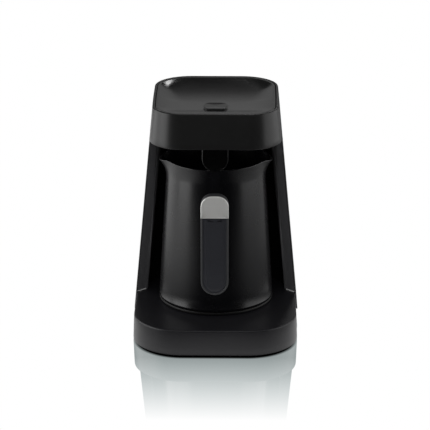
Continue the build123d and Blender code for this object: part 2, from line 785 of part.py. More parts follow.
def handle_bracket():
    """A steel pad that is welded to the jug's wall behind the arm."""
    pad = bracket_block(0.0) & (jug_clearance(bracket_thick) - jug_clearance(0.05))
    for x, z in handle_screw_places:
        pad -= level_rod(x, -60, z, screw_pilot_r, 30)
    return pad


def handle_screws():
    """Two screws through the arm that end in the bracket, just short of the jug's wall."""
    middle_y = jug_y - jug_radius(bracket_z) - handle_screw_length / 2
    return [level_rod(x, middle_y, z, 1.4, handle_screw_length) for x, z in handle_screw_places]


# ---- all pieces ------------------------------------------------------------------------------------
pieces = [base_tray, base_plate, rubber_feet, base_screws, heating_plate, plate_seal, plate_carrier,
          carrier_screws, heater_element, element_terminals, temperature_sensor, thermostat, thermal_fuse,
          terminal_block, rear_housing, housing_screws, bay_liner, cord_gland, gland_nut, power_board,
          board_screws, relay, transformer, capacitor, heatsink, wire_loom, heater_leads, head_shell,
          top_panel, button_cap, switch_plunger, tact_switch, control_board, control_screws, light_guide,
          buzzer, head_floor, head_screws, sensor_nose, sensor_lens, sensor_board, jug_body, jug_base_disc,
          jug_base_ring, handle_frame, handle_accent, handle_grip, handle_bracket, handle_screws]


def main():
    for make in pieces:
        shape = make()
        if isinstance(shape, list):
            shape = Compound(children=shape)
        export_step(shape, f"parts/{make.__name__}.step")
        print(make.__name__)


if __name__ == "__main__":
    main()
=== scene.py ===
import bmesh
import bpy
import numpy as np
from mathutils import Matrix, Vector


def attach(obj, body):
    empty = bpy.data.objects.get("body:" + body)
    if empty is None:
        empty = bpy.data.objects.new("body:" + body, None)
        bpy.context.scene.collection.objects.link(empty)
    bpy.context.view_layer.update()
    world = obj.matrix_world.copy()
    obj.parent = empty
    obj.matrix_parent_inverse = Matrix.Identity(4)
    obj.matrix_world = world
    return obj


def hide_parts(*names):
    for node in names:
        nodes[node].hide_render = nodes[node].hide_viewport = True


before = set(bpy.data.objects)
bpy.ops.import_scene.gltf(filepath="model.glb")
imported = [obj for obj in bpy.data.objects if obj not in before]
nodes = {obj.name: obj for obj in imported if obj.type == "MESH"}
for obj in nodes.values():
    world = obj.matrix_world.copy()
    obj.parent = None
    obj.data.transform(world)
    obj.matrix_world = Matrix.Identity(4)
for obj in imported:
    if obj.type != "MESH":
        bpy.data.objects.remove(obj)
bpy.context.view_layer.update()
millimetre = 0.001
jugAxisY = -4.4          # y of the upright line, at x = 0, that the jug and its plate stand round
print("frame loaded:", len(nodes), "nodes")

# Everything below is worked out in millimetres and scaled to metres when it becomes a mesh.

cameraLook = {
    "distance": 2.0,                    # metres from the point looked at
    "elevation": 19.09,                 # degrees above the horizon
    "azimuth": 0.76,                    # degrees towards +X
    "target": (-0.00094, 0.0025, 0.1101),
    "focalPixels": 2006.6,              # focal length in pixels of a 430 pixel wide frame
    "frameWidth": 430,
}


def placeCamera(look):
    # back = unit vector from the target to the camera
    e, a = np.radians(look["elevation"]), np.radians(look["azimuth"])
    back = Vector((np.sin(a) * np.cos(e), -np.cos(a) * np.cos(e), np.sin(e)))
    data = bpy.data.cameras.new("camera")
    data.sensor_width = 36.0
    data.lens = look["focalPixels"] / look["frameWidth"] * data.sensor_width
    data.clip_start, data.clip_end = 0.05, 50.0
    camera = bpy.data.objects.new("camera", data)
    camera.location = Vector(look["target"]) + back * look["distance"]
    camera.rotation_mode = "QUATERNION"
    camera.rotation_quaternion = (-back).to_track_quat("-Z", "Y")
    bpy.context.scene.collection.objects.link(camera)
    bpy.context.scene.camera = camera


placeCamera(cameraLook)
print("camera placed")


class Signal:
    # a shader socket that can be used in an expression; each operator adds its Math node
    def __init__(self, graph, socket):
        self.graph, self.socket = graph, socket

    def maths(self, operation, a, b):
        # a and b are numbers or signals
        return self.graph.add("ShaderNodeMath", {"operation": operation}, {0: a, 1: b})

    def __add__(self, other):
        return self.maths("ADD", self, other)

    def __sub__(self, other):
        return self.maths("SUBTRACT", self, other)

    def __rsub__(self, other):
        return self.maths("SUBTRACT", other, self)

    def __mul__(self, other):
        return self.maths("MULTIPLY", self, other)

    __radd__, __rmul__ = __add__, __mul__


class Finish:
    # builds one node graph, of a material or of the world
    def __init__(self, tree):
        self.tree = tree
        tree.nodes.clear()

    def add(self, kind, settings=None, inputs=None, output=0):
        # a node: its settings first, then its inputs, which are values or other nodes' results
        node = self.tree.nodes.new(kind)
        for key, value in (settings or {}).items():
            setattr(node, key, value)
        for key, value in (inputs or {}).items():
            if isinstance(value, Signal):
                self.tree.links.new(value.socket, node.inputs[key])
            elif value is not None:
                node.inputs[key].default_value = value
        return Signal(self, node.outputs[output]) if len(node.outputs) else None

    def position(self, scale=(1.0, 1.0, 1.0), shift=(0.0, 0.0, 0.0)):
        # Object coordinates stretched and moved by a shift
        place = self.add("ShaderNodeTexCoord", output="Object")
        return self.add("ShaderNodeMapping", {}, {0: place, 1: shift, 3: scale})

    def noise(self, vector, scale, detail, roughness):
        # a cloud of values round 0.5, with features about 1 / scale of a unit wide
        inputs = {"Vector": vector, "Scale": scale, "Detail": detail, "Roughness": roughness}
        return self.add("ShaderNodeTexNoise", {}, inputs, "Fac")

    def mixColour(self, factor, a, b):
        # sockets 6 and 7 are the two colours of a Mix node set to colour
        settings = {"data_type": "RGBA", "clamp_factor": True}
        return self.add("ShaderNodeMix", settings, {0: factor, 6: a, 7: b}, 2)

    def clampRange(self, value, low, high, toLow=0.0, toHigh=1.0):
        # from low to high the result runs straight from toLow to toHigh, and stays there outside
        ends = {0: value, 1: low, 2: high, 3: toLow, 4: toHigh}
        return self.add("ShaderNodeMapRange", {"clamp": True}, ends)

    def larger(self, a, b):
        # the greater of two values
        return self.add("ShaderNodeMath", {"operation": "MAXIMUM"}, {0: a, 1: b})

    def vector(self, operation, a, b=None, output=0):
        # a step of vector arithmetic
        return self.add("ShaderNodeVectorMath", {"operation": operation}, {0: a, 1: b}, output)

    def part(self, vector, axis):
        # one coordinate, named "X", "Y" or "Z"
        return self.add("ShaderNodeSeparateXYZ", {}, {0: vector}, axis)

    def isRay(self, kind):
        # 1 where the ray that looks is of this kind
        return self.add("ShaderNodeLightPath", output=f"Is {kind} Ray")

    def bump(self, height, distance, strength):
        # a surface tilted by a height from 0 to 1, which stands for a distance in metres
        return self.add("ShaderNodeBump", {}, {"Height": height, "Distance": distance, "Strength": strength})

    def surface(self, inputs):
        # the shader and the material's output
        shader = self.add("ShaderNodeBsdfPrincipled", {}, inputs)
        self.add("ShaderNodeOutputMaterial", {}, {"Surface": shader})


def newFinish(name):
    # an empty material and the graph that fills it
    material = bpy.data.materials.new(name)
    material.use_nodes = True
    return material, Finish(material.node_tree)


def colour(level, tint=(1.0, 1.0, 1.0)):
    # a grey level times a tint
    return (level * tint[0], level * tint[1], level * tint[2], 1.0)


def mouldedPlastic(name, look):
    # spark-eroded mould texture: fine grain in the bump, slow blotches in gloss and tone
    material, graph = newFinish(name)
    place = graph.position()
    grain = graph.noise(place, look["grainScale"], 2.0, 0.6)
    blotch = graph.noise(place, 28.0, 3.0, 0.55)
    handling = graph.noise(place, 9.0, 2.0, 0.5)
    tone = graph.mixColour(blotch, look["dark"], look["light"])
    gloss = look["roughness"] + (blotch - 0.5) * look["glossSpread"] + (handling - 0.5) * look["glossSpread"]
    graph.surface({
        "Base Color": tone,
        "Roughness": gloss,
        "IOR": 1.46,
        "Normal": graph.bump(grain, look["grainHeight"], look["grainStrength"]),
    })
    return material


def plastic(low, high, roughness, scale, height, strength, tint=(1.0, 1.0, 1.0), spread=0.05):
    # one moulded plastic: two tones, its gloss, and its grain's scale, height in metres and strength
    return {"dark": colour(low, tint), "light": colour(high, tint), "roughness": roughness,
            "glossSpread": spread, "grainScale": scale, "grainHeight": height, "grainStrength": strength}


violet, cool, redDark, redLight = (1.0, 0.97, 1.2), (1.0, 1.0, 1.05), (1.0, 0.16, 0.12), (1.0, 0.18, 0.13)
plasticLooks = {
    "basePlastic": plastic(0.0045, 0.0065, 0.4, 2600.0, 0.00004, 0.35, violet),
    "housingPlastic": plastic(0.016, 0.020, 0.46, 2600.0, 0.00004, 0.4, cool),
    "headPlastic": plastic(0.0045, 0.0065, 0.33, 2900.0, 0.00003, 0.3),
    "panelPlastic": plastic(0.0055, 0.0075, 0.17, 2900.0, 0.00003, 0.35, spread=0.06),
    # painted light: the liner's slanting bands get this paler tone to stand in for the light that they catch
    # from the front
    "wingPaintedLight": plastic(0.036, 0.042, 0.46, 2600.0, 0.00004, 0.4, cool),
    # the parts' own black, painted darker still as the shade inside the bay, under the head and under the
    # jug
    "blackPaintedShade": plastic(0.0018, 0.0028, 0.5, 2200.0, 0.00004, 0.4),
    # painted shade: the nose's black is made darker than real black plastic to stand in for the shadow under
    # the head
    "nosePaintedShade": plastic(0.0004, 0.0006, 0.25, 2200.0, 0.00004, 0.3),
    "handlePlastic": plastic(0.020, 0.026, 0.34, 3000.0, 0.00003, 0.3, (0.98, 1.0, 1.06), 0.06),
    "blackRubber": plastic(0.012, 0.017, 0.62, 1900.0, 0.00006, 0.5, spread=0.08),
    "darkCase": plastic(0.012, 0.02, 0.32, 2400.0, 0.00003, 0.3, spread=0.08),
    "leadSleeve": plastic(0.30, 0.38, 0.5, 2400.0, 0.00003, 0.3, redDark, 0.08),
    # painted highlight: the upward faces of the liner's beads get this pale tone to stand in for the light
    # they catch
    "beadPaintedHighlight": plastic(0.2, 0.24, 0.5, 2400.0, 0.00002, 0.2, spread=0.08),
    "lightPipe": plastic(0.66, 0.74, 0.3, 2400.0, 0.00002, 0.2, spread=0.08),
}
plasticLooks["leadSleeve"]["light"] = colour(0.38, redLight)
finishes = {name: mouldedPlastic(name, look) for name, look in plasticLooks.items()}


def jugCoating():
    # sprayed coating on steel: orange peel, with tiny flecks painted paler as glints
    material, graph = newFinish("jugCoating")
    place = graph.position()
    peel = graph.noise(place, 900.0, 2.0, 0.5)
    fleck = graph.noise(place, 5200.0, 1.0, 0.4)
    cloud = graph.noise(place, 18.0, 3.0, 0.5)
    # painted glints: the flecks' base colour is raised to stand in for the light they catch
    paintedGlints = graph.clampRange(fleck, 0.62, 0.74)
    tone = graph.mixColour(paintedGlints, colour(0.0008, (1.0, 1.0, 1.5)), colour(0.004, (1.0, 1.0, 1.5)))
    graph.surface({
        "Base Color": tone,
        "Roughness": 0.27 + (cloud - 0.5) * 0.08,
        "IOR": 1.5,
        "Normal": graph.bump(peel, 0.00005, 0.16),
    })
    return material


def brushedMetal(name, look):
    # fine straight scratches along X: noise squeezed hard in the two other directions
    material, graph = newFinish(name)
    fine = graph.noise(graph.position(look["fineStretch"]), 1.0, 4.0, 0.7)
    broad = graph.noise(graph.position(look["broadStretch"]), 1.0, 3.0, 0.6)
    streak = fine * 0.65 + broad * 0.35
    tone = graph.mixColour(streak, look["dark"], look["light"])
    graph.surface({
        "Base Color": tone,
        "Metallic": look["metallic"],
        "Roughness": look["roughness"] + (streak - 0.5) * look["glossSpread"],
        "Normal": graph.bump(streak, 0.00002, look["scratch"]),
    })
    return material


def metal(dark, light, fine, broad, roughness, spread, scratch, metallic=1.0):
    # one brushed or plain metal: two tones, stretch of its fine and broad streaks, gloss, scratches
    return {"dark": (*dark, 1.0), "light": (*light, 1.0), "fineStretch": fine, "broadStretch": broad,
            "roughness": roughness, "glossSpread": spread, "scratch": scratch, "metallic": metallic}


metalLooks = {
    "brushedCap": metal((0.74, 0.74, 0.72), (0.90, 0.90, 0.875), (40.0, 9000.0, 9000.0),
                        (14.0, 2600.0, 2600.0), 0.5, 0.2, 0.25, 0.8),
    "bareLip": metal((0.26, 0.26, 0.27), (0.34, 0.34, 0.35), (1200.0,) * 3, (300.0,) * 3, 0.32, 0.15, 0.15),
    "zincSteel": metal((0.42, 0.42, 0.43), (0.58, 0.58, 0.57), (900.0,) * 3, (260.0,) * 3, 0.36, 0.2, 0.2),
    "castAluminium": metal((0.36, 0.36, 0.37), (0.5, 0.5, 0.5), (1400.0,) * 3, (330.0,) * 3, 0.46, 0.2, 0.4),
}
for finishName, finishLook in metalLooks.items():
    finishes[finishName] = brushedMetal(finishName, finishLook)


def turnedPlate():
    # lathe rings round the jug's axis: a wave of the distance from it, plus coating grain
    material, graph = newFinish("turnedPlate")
    place = graph.position(shift=(0.0, -jugAxisY * millimetre, 0.0))
    rings = graph.add("ShaderNodeTexWave", {"wave_type": "RINGS", "rings_direction": "Z"},
                      {"Vector": place, "Scale": 420.0}, "Fac")
    grain = graph.noise(place, 1500.0, 2.0, 0.5)
    stain = graph.noise(place, 40.0, 4.0, 0.6)
    tone = graph.mixColour(stain, colour(0.028), colour(0.05))
    graph.surface({
        "Base Color": tone,
        "Metallic": 0.35,
        "Roughness": 0.42 + (stain - 0.5) * 0.16,
        "Normal": graph.bump(rings * 0.7 + grain * 0.3, 0.00004, 0.4),
    })
    return material


def gripRubber():
    # soft-touch pad: level ribs over a close grid of tiny pips, with slow clouds in gloss and tone
    material, graph = newFinish("gripRubber")
    flat = graph.position((1.0, 0.02, 1.0))
    cells = graph.add("ShaderNodeTexVoronoi", {"feature": "F1", "distance": "EUCLIDEAN"},
                      {"Vector": flat, "Scale": 1100.0, "Randomness": 0.12}, "Distance")
    ribs = graph.add("ShaderNodeTexWave", {"wave_type": "BANDS", "bands_direction": "Z"},
                     {"Vector": graph.position(), "Scale": 125.0}, "Fac")
    grain = graph.noise(graph.position(), 2400.0, 2.0, 0.6)
    cloud = graph.noise(graph.position(), 45.0, 3.0, 0.5)
    tone = graph.mixColour(cloud, colour(0.011, (0.93, 0.98, 1.25)), colour(0.014, (0.93, 0.98, 1.25)))
    graph.surface({
        "Base Color": tone,
        "Roughness": 0.5 + (cloud - 0.5) * 0.12,
        "Normal": graph.bump(ribs * 0.5 + cells * 0.4 + grain * 0.1, 0.00022, 0.3),
    })
    return material


def circuitBoard():
    # green solder mask over a faint weave of glass cloth
    material, graph = newFinish("circuitBoard")
    weave = graph.add("ShaderNodeTexBrick", {}, {"Vector": graph.position(), "Scale": 900.0}, "Fac")
    cloud = graph.noise(graph.position(), 60.0, 3.0, 0.5)
    tone = graph.mixColour(cloud, (0.012, 0.09, 0.035, 1.0), (0.018, 0.13, 0.05, 1.0))
    graph.surface({"Base Color": tone, "Roughness": 0.34, "Normal": graph.bump(weave, 0.00003, 0.3)})
    return material


def sensorGlass():
    # dark red filter over the receiver, with a polished face
    material, graph = newFinish("sensorGlass")
    cloud = graph.noise(graph.position(), 120.0, 2.0, 0.5)
    tone = graph.mixColour(cloud, (0.05, 0.004, 0.004, 1.0), (0.08, 0.006, 0.006, 1.0))
    graph.surface({"Base Color": tone, "Roughness": 0.1 + cloud * 0.06, "IOR": 1.5})
    return material


for makeFinish in (jugCoating, turnedPlate, gripRubber, circuitBoard, sensorGlass):
    finishes[makeFinish.__name__] = makeFinish()
print("finishes ready:", len(finishes))


def boxCorners(half, low, high):
    # a rectangle about the line x = 0, counter-clockwise from its lower left
    return [(-half, low), (half, low), (half, high), (-half, high)]


def roundedOutline(corners, radii, arcSteps, extra=()):
    # closed plan, counter-clockwise: an arc at each corner between its two tangent points, and
    # straight runs between the arcs, with extra points where they cross the levels (axis, place).
    # Returns points and outward normals.
    corners = np.array(corners, float)
    points, normals = [], []
    for i, corner in enumerate(corners):
        before, after = corners[i - 1] - corner, corners[(i + 1) % len(corners)] - corner
        before, after = before / np.linalg.norm(before), after / np.linalg.norm(after)
        n0, n1 = np.array([-before[1], before[0]]), np.array([after[1], -after[0]])
        half = 0.5 * np.arccos(np.clip(before @ after, -1.0, 1.0))
        radius = max(radii[i], 1e-4)
        centre = corner + (before + after) / np.linalg.norm(before + after) * radius / np.sin(half)
        t = np.linspace(0.0, 1.0, arcSteps if radii[i] > 0 else 2)[:, None]
        turn = np.pi - 2.0 * half
        arc = (np.sin((1.0 - t) * turn) * n0 + np.sin(t * turn) * n1) / np.sin(turn)
        points.append(centre + radius * arc)
        normals.append(arc)
    outlinePoints, outlineNormals = [], []
    for i in range(len(points)):
        start, end = points[i][-1], points[(i + 1) % len(points)][0]
        t = np.linspace(0.0, 1.0, 7)[1:-1]
        cuts = [np.abs((level - start[axis]) / (end[axis] - start[axis]))
                for axis, level in extra if (level - start[axis]) * (level - end[axis]) < 0]
        t = np.sort(np.concatenate([t, cuts]))[:, None]
        outlinePoints += [points[i], start + (end - start) * t]
        outlineNormals += [normals[i], np.repeat(normals[i][-1:], len(t), 0)]
    return np.concatenate(outlinePoints), np.concatenate(outlineNormals)


def carry(outline, profile, axes=(0, 1, 2)):
    # a profile of (inset, height) carried round an outline: point = outline - normal * inset
    points, normals = outline
    profile = np.array(profile, float)
    flat = points[:, None, :] - normals[:, None, :] * profile[None, :, 0:1]
    grid = np.empty((*flat.shape[:2], 3))
    grid[..., axes[0]], grid[..., axes[1]] = flat[..., 0], flat[..., 1]
    grid[..., axes[2]] = profile[None, :, 1]
    return grid


def closeEnds(grid, middle, first, last):
    # flat faces on the first and the last ring, each given as its y and the shares of the way from the
    # ring in to a middle line
    faces = []
    for ring, (y, shares) in ((grid[:, 0], first), (grid[:, -1], last)):
        share = np.array(shares)[None, :, None]
        flat = ring[:, None, [0, 2]] * (1.0 - share) + middle[:, None, :] * share
        faces.append(np.stack([flat[..., 0], np.full(flat.shape[:2], y), flat[..., 1]], 2))
    return np.concatenate([faces[0], grid, faces[1]], 1)


def bothSides(points, normals):
    # a right half and its mirror image, as one line that runs on
    mirror = np.array([-1.0, 1.0])
    return tuple(np.concatenate([half, (half * mirror)[::-1]]) for half in (points, normals))


def lathe(profile, centre, steps):
    # a profile of (radius, height) turned round an upright axis
    profile = np.array(profile, float)
    angle = np.linspace(0.0, 2.0 * np.pi, steps, endpoint=False)[:, None]
    grid = np.empty((steps, len(profile), 3))
    grid[..., 0] = centre[0] + np.cos(angle) * profile[None, :, 0]
    grid[..., 1] = centre[1] + np.sin(angle) * profile[None, :, 0]
    grid[..., 2] = profile[None, :, 1]
    return grid


def arcPoints(centre, radius, startAngle, endAngle, steps):
    # points of a circular arc in a profile's plane, angles in degrees
    a = np.radians(np.linspace(startAngle, endAngle, steps))
    return [(centre[0] + radius * np.cos(x), centre[1] + radius * np.sin(x)) for x in a]


def gridFaces(rows, columns, wrapRows, wrapColumns):
    # the four corner numbers of each cell of a grid that may close on itself either way
    i = np.arange(rows if wrapRows else rows - 1)
    j = np.arange(columns if wrapColumns else columns - 1)
    i, j = np.meshgrid(i, j, indexing="ij")
    i, j = i.ravel(), j.ravel()
    nextI, nextJ = (i + 1) % rows, (j + 1) % columns
    near, far = i * columns, nextI * columns
    return np.stack([near + j, far + j, far + nextJ, near + nextJ], 1)


# how a grid closes: rows on themselves, columns on themselves, the two end rows by a cap
closing = {"ring": (True, True, False), "cushion": (True, False, False), "bar": (False, True, True)}
sharpAngle = 38.0       # edges that turn by more degrees than this stay sharp


def makePiece(name, grids, finish, body, replaced):
    # one mesh of the grids (points, closing): smooth shading with sharp edges past an angle, a finish,
    # a body, and what the piece stands for
    vertices, faces, offset = [], [], 0
    for points, closed in grids:
        wrapRows, wrapColumns, capped = closing[closed]
        rows, columns = points.shape[:2]
        quads = gridFaces(rows, columns, wrapRows, wrapColumns) + offset
        faces += quads.tolist()
        if capped:
            first = offset + np.arange(columns)
            faces += [first.tolist(), (first[::-1] + (rows - 1) * columns).tolist()]
        vertices.append(points.reshape(-1, 3))
        offset += rows * columns
    mesh = bpy.data.meshes.new(name)
    mesh.from_pydata((np.concatenate(vertices) * millimetre).tolist(), [], faces)
    tidyMesh(mesh)
    mesh.shade_smooth()
    mesh.set_sharp_from_angle(angle=np.radians(sharpAngle))
    mesh.materials.append(finishes[finish])
    piece = bpy.data.objects.new(name, mesh)
    bpy.context.scene.collection.objects.link(piece)
    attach(piece, body)
    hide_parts(*replaced)
    return piece


def tidyMesh(mesh):
    # merge poles and seams, drop collapsed faces, turn every face outwards
    work = bmesh.new()
    work.from_mesh(mesh)
    bmesh.ops.remove_doubles(work, verts=work.verts, dist=2e-7)
    bmesh.ops.dissolve_degenerate(work, edges=work.edges, dist=1e-7)
    bmesh.ops.recalc_face_normals(work, faces=work.faces)
    work.to_mesh(mesh)
    work.free()


def dressFaces(piece, extra, choose):
    # extra finishes on some faces: choose gives each face's number in the list of the piece's finishes
    # from its normal and its centre in metres
    mesh = piece.data
    for finish in extra:
        mesh.materials.append(finishes[finish])
    normals, centres = np.empty(len(mesh.polygons) * 3), np.empty(len(mesh.polygons) * 3)
    mesh.polygons.foreach_get("normal", normals)
    mesh.polygons.foreach_get("center", centres)
    slots = choose(normals.reshape(-1, 3), centres.reshape(-1, 3))
    mesh.polygons.foreach_set("material_index", slots.astype(np.int32))


def cutWith(piece, cutters):
    # cut closed meshes out of a piece, then put the result in place of its mesh
    for grid in cutters:
        mesh = bpy.data.meshes.new("cutter")
        rows, columns = grid.shape[:2]
        faces = gridFaces(rows, columns, True, False).tolist()
        ring = np.arange(rows) * columns
        faces += [ring.tolist(), (ring[::-1] + columns - 1).tolist()]
        mesh.from_pydata((grid.reshape(-1, 3) * millimetre).tolist(), [], faces)
        tidyMesh(mesh)
        cutter = bpy.data.objects.new("cutter", mesh)
        bpy.context.scene.collection.objects.link(cutter)
        modifier = piece.modifiers.new("cut", "BOOLEAN")
        modifier.operation, modifier.solver, modifier.object = "DIFFERENCE", "EXACT", cutter
        evaluated = piece.evaluated_get(bpy.context.evaluated_depsgraph_get())
        result = bpy.data.meshes.new_from_object(evaluated)
        piece.modifiers.clear()
        old, piece.data = piece.data, result
        bpy.data.meshes.remove(old)
        bpy.data.objects.remove(cutter)
        bpy.data.meshes.remove(mesh)
    piece.data.name = piece.name


# the outer form at z = 0, which the housing and the head share, and its lean per millimetre of height
form = {"halfWidth": 83.5, "backY": 100.86, "rearR": 58.7, "draft": 0.0952, "wingY": 4.8}


def formWidth(z):
    # half width at a height: it falls by the draft
    return form["halfWidth"] - form["draft"] * z


def formBack(z):
    # y of the back at a height: it falls by the draft
    return form["backY"] - form["draft"] * z


base = {
    "halfWidth": 80.9, "frontY": -100.0, "frontR": 50.0, "rearR": 55.5,
    "bottomZ": 1.5, "topZ": 26.9, "flare": 0.9, "edgeR": 1.7, "footR": 0.6,
    "wall": 2.5, "skirtZ": 8.8, "skirtInset": 2.5, "plateHoleR": 47.6,
    "deckThick": 2.5, "holeEdge": 0.25, "sideRows": (14.0, 20.0),
    "lipZ": 4.2, "ledgeZ": 6.0, "ledge": 2.0, "roofStep": 3.0,      # the skirt's inner side
}


def makeBase():
    # outer skin carried round the plan, then the deck blended in to the plate's hole, then the inside
    b = base
    backY = formBack(b["bottomZ"]) - b["skirtInset"]
    w = b["halfWidth"]
    radii = [b["frontR"], b["frontR"], b["rearR"], b["rearR"]]
    levels = [(1, form["wingY"] - 0.5), (1, form["wingY"] - 0.35)]
    outline = roundedOutline(boxCorners(w, b["frontY"], backY), radii, 26, levels)

    def lean(z):
        # inset that grows straight from the foot to the top
        return b["flare"] * (z - b["bottomZ"]) / (b["topZ"] - b["bottomZ"])

    foot, edge, top = b["footR"], b["edgeR"], b["topZ"]
    profile = [(b["wall"], b["bottomZ"])]
    profile += arcPoints((foot, b["bottomZ"] + foot), foot, 270, 180, 4)
    profile += [(lean(z), z) for z in (b["skirtZ"] - 0.1, b["skirtZ"] + 0.1, *b["sideRows"])]
    profile += arcPoints((lean(top) + edge, top - edge), edge, 180, 90, 8)
    profile += [(lean(top) + edge + 2.0, top)]
    inner = [(b["wall"] + b["roofStep"], top - b["deckThick"]), (b["wall"] + b["ledge"], b["ledgeZ"]),
             (b["wall"], b["lipZ"])]
    rim = carry(outline, profile)
    # the rear of the side steps in above the skirt's foot, where the housing overlaps it
    behind = (rim[..., 1] > form["wingY"] - 0.4) & (rim[..., 2] > b["skirtZ"])
    sideLimit = formWidth(rim[..., 2]) - b["skirtInset"]
    sideX = np.sign(rim[..., 0]) * np.minimum(np.abs(rim[..., 0]), sideLimit)
    rim[..., 0] = np.where(behind, sideX, rim[..., 0])
    # the deck: outline blended into the round hole of the heating plate
    away = outline[0] - np.array([0.0, jugAxisY])
    ring = away / np.linalg.norm(away, axis=1, keepdims=True) * b["plateHoleR"]
    ring += np.array([0.0, jugAxisY])
    start = rim[:, -1, :2]
    blend = np.array([0.2, 0.45, 0.7, 0.9, 0.985, 1.0])[None, :, None]
    deck = start[:, None, :] * (1.0 - blend) + ring[:, None, :] * blend
    deck = np.concatenate([deck, np.full((*deck.shape[:2], 1), top)], 2)
    deck[:, -1, 2] = top - b["holeEdge"]
    hole = np.concatenate([ring, np.full((len(ring), 1), top - b["deckThick"])], 1)[:, None, :]
    under = carry(outline, inner)
    grid = np.concatenate([rim, deck, hole, under], 1)
    makePiece("baseTray", [(grid, "ring")], "basePlastic", "stand", ["base_tray"])


makeBase()


housing = {"bottomZ": 9.0, "topZ": 225.0, "wall": 2.2, "wingWall": 1.1, "thinning": 5.0, "edge": 0.7,
           "plainEnd": 4.0, "noseRows": ((0.32, 0.0), (0.1, 0.25), (0.0, 0.6)),
           "slots": 6, "slotZ": 168.0, "slotStep": 6.0, "slotHalf": 26.0, "slotR": 1.2,
           "glandZ": 42.0, "glandR": 7.2, "cutIn": 12.0, "cutOut": 8.0}


def wallLoop(wide, back, rearR, frontY):
    # a U seen from above, from the right wing round the back to the left one, with outward normals:
    # a straight side and a quarter circle, then the mirror image of both
    a = np.radians(np.linspace(0.0, 90.0, 30))
    turn = np.stack([np.cos(a), np.sin(a)], 1)
    corner = np.array([wide - rearR, back - rearR]) + rearR * turn
    straightY = np.linspace(frontY, back - rearR, 8)[:-1]
    points = np.concatenate([np.stack([np.full(7, wide), straightY], 1), corner])
    normals = np.concatenate([np.tile([1.0, 0.0], (7, 1)), turn])
    return bothSides(points, normals)


def makeHousing():
    # the wall's section carried round the U: point = outline - normal * (draft * z + share of the wall)
    h = housing
    outline = wallLoop(form["halfWidth"], form["backY"], form["rearR"], form["wingY"])
    e = h["edge"]
    z = np.array([h["bottomZ"], h["bottomZ"] + 0.3 * e, h["bottomZ"] + e,
                  *np.linspace(h["bottomZ"] + h["plainEnd"], h["topZ"] - h["plainEnd"], 26),
                  h["topZ"] - e, h["topZ"] - 0.3 * e, h["topZ"]])
    ease = np.array([e, 0.3 * e, 0.0, *np.zeros(26), 0.0, 0.3 * e, e])
    # section of the wall at one place of the U: outer face up, top, inner face down, bottom
    outer = np.stack([ease + form["draft"] * z, z], 1)
    inner = np.stack([h["wall"] - ease + form["draft"] * z, z], 1)[::-1]
    profile = np.concatenate([outer, inner])
    grid = carry(outline, profile)
    # the wall thins towards the wings' fronts: its inner side moves out by a share that falls with y
    share = np.clip((profile[:, 0] - form["draft"] * profile[:, 1]) / h["wall"], 0.0, 1.0)
    thin = np.clip(1.0 - (grid[..., 1] - form["wingY"]) / h["thinning"], 0.0, 1.0)
    thin *= h["wall"] - h["wingWall"]
    grid[..., 0] += np.sign(grid[..., 0]) * share * thin
    # round noses at the two wing fronts: rows (share of the wall drawn in to its middle, y past the
    # front) in place of the last one
    depth = share - 0.5
    noses = []
    for end, sign in ((0, 1.0), (-1, -1.0)):
        rows = np.repeat(grid[end][None], len(h["noseRows"]), 0)
        for row, (pull, ahead) in zip(rows, h["noseRows"]):
            row[:, 0] += sign * depth * h["wingWall"] * pull
            row[:, 1] = form["wingY"] + ahead
        noses.append(rows)
    grid = np.concatenate([noses[0], grid[1:-1], noses[1][::-1]])
    piece = makePiece("rearHousing", [(grid, "bar")], "housingPlastic", "stand", ["rear_housing"])
    slotZ = h["slotZ"] + h["slotStep"] * np.arange(h["slots"])
    cutters = [slotCutter(z, h["slotHalf"], h["slotR"]) for z in slotZ]
    cutters.append(slotCutter(h["glandZ"], 0.0, h["glandR"]))
    cutWith(piece, cutters)


def slotCutter(z, half, radius):
    # a stadium drawn on the back wall and run through it
    a = np.radians(np.linspace(-90.0, 90.0, 13))
    right = np.stack([half + radius * np.cos(a), z + radius * np.sin(a)], 1)
    left = np.stack([-half - radius * np.cos(a), z - radius * np.sin(a)], 1)
    ring = np.concatenate([right, left])
    ring = ring[np.append(np.linalg.norm(np.diff(ring, axis=0), axis=1) > 1e-6, True)]
    grid = np.empty((len(ring), 2, 3))
    grid[..., 0], grid[..., 2] = ring[:, None, 0], ring[:, None, 1]
    back = formBack(z)
    grid[:, 0, 1], grid[:, 1, 1] = back - housing["cutIn"], back + housing["cutOut"]
    return grid


makeHousing()


bay = {"halfWidth": 69.4, "frontY": 15.0, "backY": 62.0, "rearR": 46.0, "wall": 2.0,
       "bottomZ": 27.1, "topZ": 198.4, "deckZ": base["topZ"], "bead": 0.9, "sideGap": 1.35, "frontGap": 0.4}


